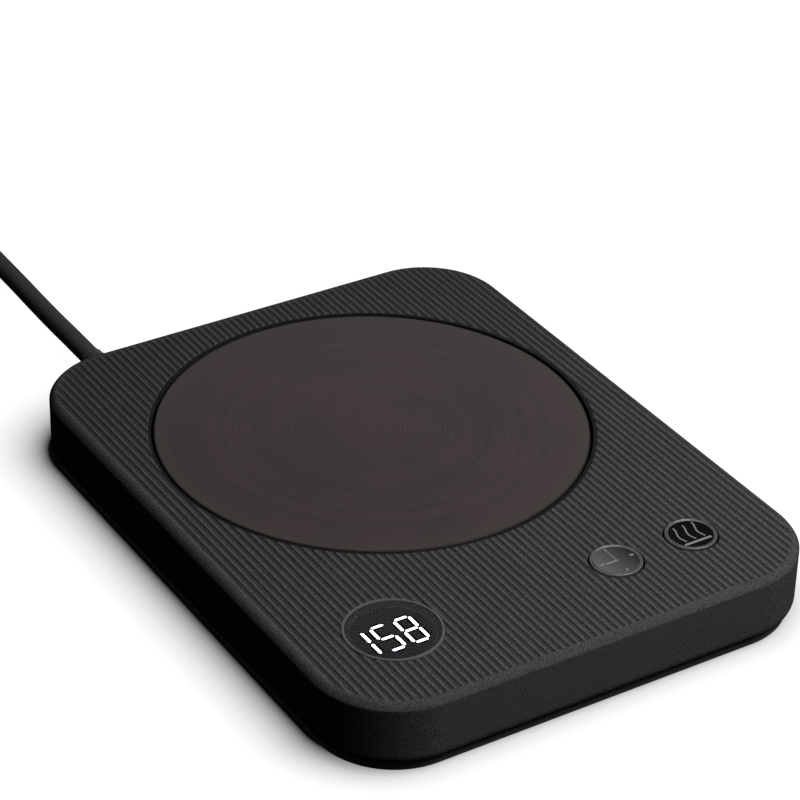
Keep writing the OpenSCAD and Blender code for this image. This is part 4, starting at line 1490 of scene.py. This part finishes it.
@dataclass
class Display:
    """The round display: its trim ring, window, mask and digits."""

    ring_w: float = 0.6
    rounding: Line = ((0.0, 0.16), (0.03, 0.08), (0.1, 0.02), (0.2, 0.0))
    crease: float = 60.0
    gap_in: float = 0.18
    gap_out: float = 0.36
    tip_gap: float = 0.08
    gap_heights: Place = (-0.03, 0.01)
    side_from: float = 1.0
    weld: float = 1e-4
    level: float = 1e-3
    border_r: float = 8.3
    border_t: float = 0.04
    border_out: float = 0.02

    def trim(self) -> None:
        """Builds the trim ring with a rounded top."""
        low, high = heights_of("display_ring")
        outer = size_of("display_ring")[0] / 2
        inner = outer - self.ring_w
        section = [(inner, low), (outer, low)]
        section += [(outer - inset, high - drop) for inset, drop in self.rounding]
        section += [(inner + inset, high - drop) for inset, drop in self.rounding[::-1]]
        mesh = lathe(section, middle_of("display_ring"), WIDE)
        ring = new_piece("display_trim", mesh, TRIM_ABS, self.crease)
        seat(ring, Body.HOUSING, Slot.TRIM, "display_ring")

    def bars(self, node: str) -> list[list[Place]]:
        """Finds the outline of each bar of the digits.

        Args:
            node: The node that holds the bars.

        Returns:
            The corners of each bar's top, counter-clockwise in mm.
        """
        bars = bmesh.new()
        bars.from_mesh(bpy.data.objects[node].data)
        bmesh.ops.remove_doubles(bars, verts=bars.verts, dist=self.weld * MM)
        top = max(vertex.co.z for vertex in bars.verts) - self.level * MM
        left = {vertex for vertex in bars.verts if vertex.co.z > top}
        outlines = []
        while left:
            island, edge = set(), [left.pop()]
            while edge:
                vertex = edge.pop()
                island.add(vertex)
                near = {side.other_vert(vertex) for side in vertex.link_edges} & left
                left -= near
                edge += near
            points = sorted((vertex.co.x / MM, vertex.co.y / MM) for vertex in island)
            x = sum(point[0] for point in points) / len(points)
            y = sum(point[1] for point in points) / len(points)
            outlines.append(sorted(points, key=lambda p: math.atan2(p[1] - y, p[0] - x)))
        bars.free()
        return sorted(outlines)

    def grown(self, outline: Line, beside: float, tip: float) -> Line:
        """Moves the sides of a bar's outline outwards.

        Args:
            outline: Its corners, counter-clockwise.
            beside: How far its long sides move.
            tip: How far the short sides at its tips move.

        Returns:
            The new corners.
        """
        corners = []
        for k, (x, y) in enumerate(outline):
            sides = []
            for start, end in ((outline[k - 1], (x, y)), ((x, y), outline[(k + 1) % len(outline)])):
                run_x, run_y = end[0] - start[0], end[1] - start[1]
                size = math.hypot(run_x, run_y)
                move = beside if size > self.side_from else tip
                sides.append((run_y / size, -run_x / size, move))
            (ax, ay, a), (bx, by, b) = sides
            turn = ax * by - ay * bx
            corners.append((x + (a * by - b * ay) / turn, y + (b * ax - a * bx) / turn))
        return corners

    def gaps(self) -> None:
        """Builds a black line round each lit bar: broad beside it and thin at its tips."""
        low, high = (heights_of("lit_segments")[1] + height for height in self.gap_heights)
        lines = []
        for outline in self.bars("lit_segments"):
            inner = self.grown(outline, -self.gap_in, -self.tip_gap)
            outer = self.grown(outline, self.gap_out, self.tip_gap)
            section = ((inner, low), (outer, low), (outer, high), (inner, high))
            lines.append(looped([[(x, y, z) for x, y in edge] for edge, z in section]))
        seat(new_piece("bar_gaps", joined(lines), GAP_PRINT), Body.HOUSING, Slot.MASK)

    def border(self) -> None:
        """Builds the print on the window's back edge and side, which hides the seat."""
        low, high = heights_of("display_lens")
        outer = size_of("display_lens")[0] / 2 + self.border_out
        inner = outer - 2 * self.border_t
        top = high - self.border_t
        section = [
            (self.border_r, low), (outer, low), (outer, top), (inner, top),
            (inner, low + self.border_t), (self.border_r, low + self.border_t),
        ]
        edge = new_piece("window_border", lathe(section, middle_of("display_lens")), MASK_PRINT)
        seat(edge, Body.HOUSING, Slot.MASK)

    def build(self) -> None:
        """Builds the trim, the border and the lines round the bars, and dresses the rest."""
        self.trim()
        self.border()
        self.gaps()
        dress(
            {
                "display_lens": SMOKED_ACRYLIC,
                "segment_mask": MASK_PRINT,
                "lit_segments": LIT_SEGMENT,
                "unlit_segments": DARK_SEGMENT,
                "display_module": LED_CASE,
            }
        )


# ---- Buttons ----


class Sign(Enum):
    """What a button's face shows."""

    CLOCK = "clock"
    WARMTH = "warmth"


@dataclass
class PushButton:
    """A round push button with a bright rim and a printed sign."""

    body: Body
    name: str
    sign: Sign
    face: Finish
    ink: Finish
    core_r: float = 4.675
    shift: float = 0.04
    outer_bead: Line = ((0.0, 0.2), (0.04, 0.09), (0.11, 0.02), (0.18, 0.0))
    groove: Line = ((0.13, 0.03), (0.05, 0.22), (-0.03, 0.22), (-0.09, 0.04), (-0.16, 0.02))
    inner_bead: Line = ((0.05, 0.06), (0.0, 0.13))
    crease: float = 55.0
    wave_x: Sequence[float] = (-2.5, -0.2, 2.1)
    wave_y: Place = (-1.75, 5.0)
    wave_turns: Place = (-0.03, 0.8)
    wave_swing: float = 0.42
    wave_steps: int = 16
    wave_w: float = 0.32
    ink_t: float = 0.04
    sink: float = 0.01

    def node(self, part: str) -> str:
        """Names one of the button's nodes."""
        return f"{self.name}_{part}"

    def rim(self) -> None:
        """Builds the rim: two beads with a groove between them."""
        node = self.node("button_rim")
        low, high = heights_of(node)
        outer = size_of(node)[0] / 2
        middle = (self.core_r + outer) / 2 - self.shift
        section = [(self.core_r, low), (outer, low)]
        section += [(outer - inset, high - drop) for inset, drop in self.outer_bead]
        section += [(middle + out, high - drop) for out, drop in self.groove]
        section += [(self.core_r + out, high - drop) for out, drop in self.inner_bead]
        mesh = lathe(section, middle_of(node))
        ring = new_piece(f"{self.name}_ring", mesh, RIM_METAL, self.crease)
        seat(ring, self.body, Slot.METAL, node)

    def clock(self) -> Strokes:
        """Gives a clock's hands and its four ticks.

        Returns:
            Their paths with widths.
        """
        return [
            ([(0.0, 0.3), (0.0, 3.6)], 0.22),
            ([(0.1, -0.15), (-2.4, -0.15)], 0.5),
            ([(0.0, 3.8), (0.0, 4.0)], 0.5),
            ([(3.5, 0.0), (3.9, 0.0)], 0.6),
            ([(0.0, -3.6), (0.0, -3.9)], 0.45),
            ([(-4.0, 0.0), (-3.1, 0.0)], 0.5),
        ]

    def warmth(self) -> Strokes:
        """Gives three rising waves over a bar.

        Returns:
            Their paths with widths.
        """
        (low, tall), (start, turns) = self.wave_y, self.wave_turns
        paths: Strokes = [([(-3.2, -2.7), (2.9, -2.7)], 0.6)]
        for x in self.wave_x:
            path = []
            for k in range(self.wave_steps + 1):
                share = k / self.wave_steps
                turn = 2 * math.pi * (turns * share + start)
                path.append((x - self.wave_swing * math.sin(turn), low + tall * share))
            paths.append((path, self.wave_w))
        return paths

    def print_sign(self) -> None:
        """Builds the sign as thin printed lines on the face."""
        x, y = middle_of(self.node("button_rim"))
        face = heights_of(self.node("button_cap"))[1]
        lines = self.clock() if self.sign is Sign.CLOCK else self.warmth()
        solids = []
        for path, width in lines:
            moved = [(x + px, y + py) for px, py in path]
            solids.append(stroke(moved, width, face - self.sink, face + self.ink_t))
        sign = new_piece(f"{self.name}_sign", joined(solids), self.ink)
        seat(sign, self.body, Slot.METAL)

    def build(self) -> None:
        """Builds the rim and sign, and dresses the cap and the switch."""
        self.rim()
        self.print_sign()
        dress(
            {
                self.node("button_cap"): self.face,
                self.node("switch"): SWITCH_NYLON,
                self.node("switch_stem"): STEM_ACETAL,
            }
        )


# ---- Electronics ----


@dataclass
class Electronics:
    """The control board, its components and the leads."""

    def build(self) -> None:
        """Dresses the board's pieces."""
        dress(
            {
                "control_board": BOARD_GREEN,
                "control_chip": CHIP_EPOXY,
                "heater_triac": CHIP_EPOXY,
                "buzzer": CHIP_EPOXY,
                "filter_capacitor": CAPACITOR_SLEEVE,
                "film_capacitor": FILM_LACQUER,
                "board_fuse": FUSE_CERAMIC,
                "terminal_block": TERMINAL_GREEN,
                "board_screws": SCREW_STEEL,
                "heater_leads": LEAD_RED,
                "sensor_leads": LEAD_WHITE,
                "mains_leads": LEAD_BLUE,
                "cord_clamp": CLAMP_NYLON,
                "cord_clamp_screws": SCREW_STEEL,
            }
        )


# ---- Cord ----


@dataclass
class CordSet:
    """The mains cord: its run, the coil of its stored length, its ties, sleeve and plug."""

    diameter: float = 4.7
    length: float = 1.254
    around: int = 6
    between: int = 4
    exit_height: float = 5.2
    coil_at: Place = (-32.3, 96.0)
    outer_r: float = 34.8
    pitch: float = 4.8
    turns: float = 3.25
    per_turn: int = 24
    low_z: float = 3.15
    high_z: float = 7.85
    climb: float = 0.5
    to_coil: Sequence[Point] = (
        (0, -22, 5.2), (0, -10, 5.2), (0, 4, 5.2), (0, 16, 5.2), (0.4, 26, 4.7), (1, 37, 3.8),
        (1.7, 48, 3), (2.3, 59, 2.5), (2.5, 70, 2.4), (2.5, 78, 2.6), (2.5, 86, 2.9),
    )
    to_plug: Sequence[Point] = ((-67, 90, 7.6), (-67, 82, 7.2), (-67, 74, 7), (-67, 64, 7))
    bore_gap: float = 0.05
    sleeve_r: float = 3.3
    sleeve_tip_r: float = 2.65
    sleeve_tip: Place = (0.15, 0.2)
    sleeve_wall: float = 0.15
    sleeve_land: float = 1.0
    sleeve_grooves: int = 5
    groove: Line = ((0.0, 0.0), (0.45, 0.0), (0.55, 0.45), (0.85, 0.45), (0.95, 0.0))
    collar: Point = (3.9, 67.05, 68.25)
    coil_r: float = 27.0
    tie_width: float = 5.0
    tie_t: float = 0.7
    tie_edge: float = 0.18
    tie_inner: Point = (10.45, 0.8, 10.4)
    tie_corner: float = 2.4
    tie_steps: int = 8
    tie_crease: float = 50.0
    tail_y: Point = (-5.5, 5.0, 6.2)
    tail_z: Place = (-0.05, 0.55)
    tail_cut: float = 1.4
    grip_count: int = 5
    grip_from: float = 12.3
    grip_step: float = 1.7
    grip_inset: float = 1.5
    grip_half: float = 3.2
    grip_form: Line = ((-0.4, -0.45), (0.2, -0.32), (0.4, 0.0), (0.2, 0.32), (-0.4, 0.45))
    grip_crease: float = 60.0
    taper_from: float = 12.0
    taper: float = 7.0
    exit_x: float = field(init=False)
    exit_y: float = field(init=False)

    def __post_init__(self) -> None:
        """Takes the exit from the frame."""
        self.exit_x = middle_of("strain_relief")[0]
        self.exit_y = rear_of("top_shell")

    def coil(self) -> list[Point]:
        """Winds the lower layer inwards and the upper layer outwards.

        Returns:
            The points of the coil, measured from the exit.
        """
        points = []
        for i in range(round(2 * self.turns * self.per_turn) + 1):
            turn = i / self.per_turn
            radius = self.outer_r - self.pitch * min(turn, 2 * self.turns - turn)
            share = smoothstep((turn - self.turns) / self.climb + 0.5)
            angle = 2 * math.pi * turn
            x = self.coil_at[0] + radius * math.cos(angle)
            y = self.coil_at[1] + radius * math.sin(angle)
            points.append((x, y, self.low_z + share * (self.high_z - self.low_z)))
        return points

    def route(self) -> list[Point]:
        """Gives the whole centreline in mm, from inside the housing to the plug."""
        points = [*self.to_coil, *self.coil(), *self.to_plug]
        return [(self.exit_x + x, self.exit_y + y, z) for x, y, z in points]

    def sleeve(self) -> bpy.types.Object:
        """Builds the tapered sleeve with its collar and its flexing grooves.

        Returns:
            The sleeve.
        """
        bore = self.diameter / 2 + self.bore_gap
        collar_r, inner, wall = self.collar
        first, last = self.exit_y + self.sleeve_land, rear_of("strain_relief")
        section = [(bore, inner), (collar_r, inner), (collar_r, wall), (self.sleeve_r, wall)]
        step = (last - first) / self.sleeve_grooves
        for k in range(self.sleeve_grooves):
            for share, drop in self.groove:
                place = first + (k + share) * step
                taper = (place - first) / (last - first)
                radius = self.sleeve_r + (self.sleeve_tip_r - self.sleeve_r) * taper
                section.append((max(radius - drop, bore + self.sleeve_wall), place))
        inset, back = self.sleeve_tip
        section += [(self.sleeve_tip_r, last - back), (self.sleeve_tip_r - inset, last)]
        section.append((bore, last))
        mesh = along_y(lathe(section, steps=TUBE), self.exit_x, self.exit_height)
        sleeve = new_piece("cord_sleeve", mesh, PLUG_PVC)
        return seat(sleeve, Body.HOUSING, Slot.SLEEVE, "strain_relief")

    def loop(self, grow: float) -> Line:
        """Draws the round-cornered line of a tie round the coil.

        Args:
            grow: How far outside the tie's inner side the line runs.

        Returns:
            The points as (y, z).
        """
        half, low, high = self.tie_inner
        points = []
        for k, (side, level) in enumerate(((1, low), (1, high), (-1, high), (-1, low))):
            middle_y = side * (half - self.tie_corner)
            middle_z = level + self.tie_corner * (1 if level == low else -1)
            for i in range(self.tie_steps + 1):
                angle = math.pi / 2 * (k - 1 + i / self.tie_steps)
                radius = self.tie_corner + grow
                y, z = radius * math.cos(angle), radius * math.sin(angle)
                points.append((middle_y + y, middle_z + z))
        return points

    def tie(self, y: float) -> list[Mesh]:
        """Builds one tie round the coil's turns, and the end that overlaps on its top.

        Args:
            y: Where the middle of the turns is.

        Returns:
            The two meshes.
        """
        x = self.exit_x + self.coil_at[0]
        half, thick = self.tie_width / 2, self.tie_t
        wide, deep = half - self.tie_edge, thick - self.tie_edge
        section = [
            (0.0, -wide), (0.0, wide), (self.tie_edge, half), (deep, half), (thick, wide),
            (thick, -wide), (deep, -half), (self.tie_edge, -half),
        ]
        rings = [[(x + u, y + v, z) for v, z in self.loop(grow)] for grow, u in section]
        back, shoulder, tip = (y + step for step in self.tail_y)
        narrow = half - self.tail_cut
        outline = [
            (x - wide, back), (x + wide, back), (x + wide, shoulder), (x + narrow, tip),
            (x - narrow, tip), (x - wide, shoulder),
        ]
        low, high = (self.tie_inner[2] + thick + step for step in self.tail_z)
        return [looped(rings), slab(outline, low, high)]

    def ties(self) -> bpy.types.Object:
        """Builds both ties.

        Returns:
            The ties as one piece.
        """
        y = self.exit_y + self.coil_at[1]
        solids = [*self.tie(y - self.coil_r), *self.tie(y + self.coil_r)]
        straps = new_piece("tie_straps", joined(solids), TIE_NYLON, self.tie_crease)
        return seat(straps, Body.HOUSING, Slot.TIE, "cord_ties")

    def grips(self) -> bpy.types.Object:
        """Builds the ridges on both sides of the plug, which narrows to the cord.

        Returns:
            The ridges as one piece.
        """
        first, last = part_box("plug_body")
        x, z = middle_of("plug_body")[0], (first.z + last.z) / 2 / MM
        blade_end, half = first.y / MM, (last.x - first.x) / 2 / MM
        solids = []
        for k in range(self.grip_count):
            back = self.grip_from + k * self.grip_step
            side = half - self.grip_inset - (back - self.taper_from) / self.taper
            y = blade_end + back
            for s in (-1, 1):
                outline = [(x + s * (side + out), y + along) for out, along in self.grip_form]
                solids.append(slab(outline[::s], z - self.grip_half, z + self.grip_half))
        ridges = new_piece("plug_grips", joined(solids), PLUG_PVC, self.grip_crease)
        return seat(ridges, Body.HOUSING, Slot.PLUG)

    def cord(self) -> bpy.types.Object:
        """Builds the cord itself, from the housing to the plug.

        Returns:
            The cord.
        """
        curve = bpy.data.curves.new("mains_cord", "CURVE")
        curve.dimensions = "3D"
        curve.bevel_depth = self.diameter / 2 * MM
        curve.bevel_resolution = self.around
        curve.resolution_u = self.between
        curve.use_fill_caps = True
        route = self.route()
        spline = curve.splines.new("BEZIER")
        spline.bezier_points.add(len(route) - 1)
        for knot, place in zip(spline.bezier_points, route):
            knot.co = Vector(place) * MM
            knot.handle_left_type = knot.handle_right_type = "AUTO"
        curve.materials.append(PVC_JACKET.material())
        cord = bpy.data.objects.new("mains_cord", curve)
        bpy.context.scene.collection.objects.link(cord)
        return seat(cord, Body.HOUSING, Slot.JACKET, "cord", "cord_coil")

    def build(self) -> None:
        cord = self.cord()
        dress({"plug_body": PLUG_PVC, "plug_blades": BLADE_BRASS})
        self.grips()
        self.ties()
        self.sleeve()


# ---- Studio ----


@dataclass
class Studio:
    """A white floor, a soft lamp and a camera to the front left."""

    azimuth: float = -32.586
    elevation: float = 32.052
    roll: float = 1.501
    distance: float = 682.978
    target: Point = (24.339, 43.415, 0.8)
    lens: float = 135.605
    sensor: float = 36.0
    clip: float = 10.0
    floor_half: float = 4000.0
    floor_gap: float = 0.02
    ambient: float = 0.03
    sky: str = "#ffffff"
    lamp_at: Point = (105.0, -195.0, 315.0)
    lamp_aim: Point = (0.0, 0.0, 10.0)
    lamp_size: float = 240.0
    lamp_power: float = 1.75

    def add_floor(self) -> None:
        """Lays the floor: white where it is seen, and dark to the light that it throws back."""
        half, low = self.floor_half, -self.floor_gap
        corners = [(-half, -half, low), (half, -half, low), (half, half, low), (-half, half, low)]
        new_piece("floor", (corners, [[0, 1, 2, 3]]), FLOOR_PAPER)

    def add_world(self) -> None:
        """Lights the scene faintly, and shows white to the camera and in reflections."""
        world = bpy.data.worlds.new("world")
        world.use_nodes = True
        tree = world.node_tree
        tree.nodes.clear()
        rays = add(tree, "LightPath")
        sharp = {0: rays["Is Glossy Ray"], 1: rays["Is Transmission Ray"]}
        seen = add(tree, "Math", {"operation": "MAXIMUM", **sharp})[0]
        direct = {0: rays["Is Camera Ray"], 1: seen}
        seen = add(tree, "Math", {"operation": "MAXIMUM", **direct})[0]
        level = add(tree, "MapRange", {"Value": seen, **onto(self.ambient, 1.0)})["Result"]
        sky = add(tree, "Background", {"Color": linear(self.sky), "Strength": level})
        add(tree, "OutputWorld", {"Surface": sky["Background"]})
        bpy.context.scene.world = world

    def add_lamp(self) -> None:
        """Hangs a soft lamp near the part, over its front right."""
        data = bpy.data.lights.new("key", "AREA")
        data.shape = "DISK"
        data.size = self.lamp_size * MM
        data.energy = self.lamp_power
        lamp = bpy.data.objects.new("key", data)
        aim = Vector(self.lamp_aim) - Vector(self.lamp_at)
        turn = aim.to_track_quat("-Z", "Y").to_matrix().to_4x4()
        lamp.matrix_world = Matrix.Translation(Vector(self.lamp_at) * MM) @ turn
        bpy.context.scene.collection.objects.link(lamp)

    def add_camera(self) -> None:
        """Places the camera."""
        azimuth, elevation = math.radians(self.azimuth), math.radians(self.elevation)
        level = Vector((math.cos(azimuth), math.sin(azimuth), 0.0))
        away = Vector((math.sin(azimuth), -math.cos(azimuth), 0.0))
        back = away * math.cos(elevation) + Vector((0.0, 0.0, math.sin(elevation)))
        turn = Matrix.Rotation(math.radians(self.roll), 3, back)
        right, up = turn @ level, turn @ back.cross(level)
        place = (Vector(self.target) + back * self.distance) * MM
        data = bpy.data.cameras.new("camera")
        data.lens = self.lens
        data.sensor_width = self.sensor
        data.clip_start = self.clip * MM
        camera = bpy.data.objects.new("camera", data)
        axes = Matrix((right, up, back)).transposed().to_4x4()
        camera.matrix_world = Matrix.Translation(place) @ axes
        bpy.context.scene.collection.objects.link(camera)
        bpy.context.scene.camera = camera

    def build(self) -> None:
        """Builds the floor, the world, the lamp and the camera."""
        self.add_floor()
        self.add_world()
        self.add_lamp()
        self.add_camera()
        bpy.context.scene.view_settings.view_transform = "Standard"


def main() -> None:
    """Builds the part's looks and its studio."""
    logging.basicConfig(level=logging.INFO, format="%(name)s: %(message)s")
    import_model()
    for assembly in (
        Studio(),
        CordSet(),
        TopShell(),
        Base(),
        Heater(),
        Display(),
        PushButton(Body.TIMER, "timer", Sign.CLOCK, TIMER_FACE, SILVER_INK),
        PushButton(Body.HEAT, "heat", Sign.WARMTH, HEAT_FACE, GREY_INK),
        Electronics(),
    ):
        assembly.build()


if __name__ == "__main__":
    main()
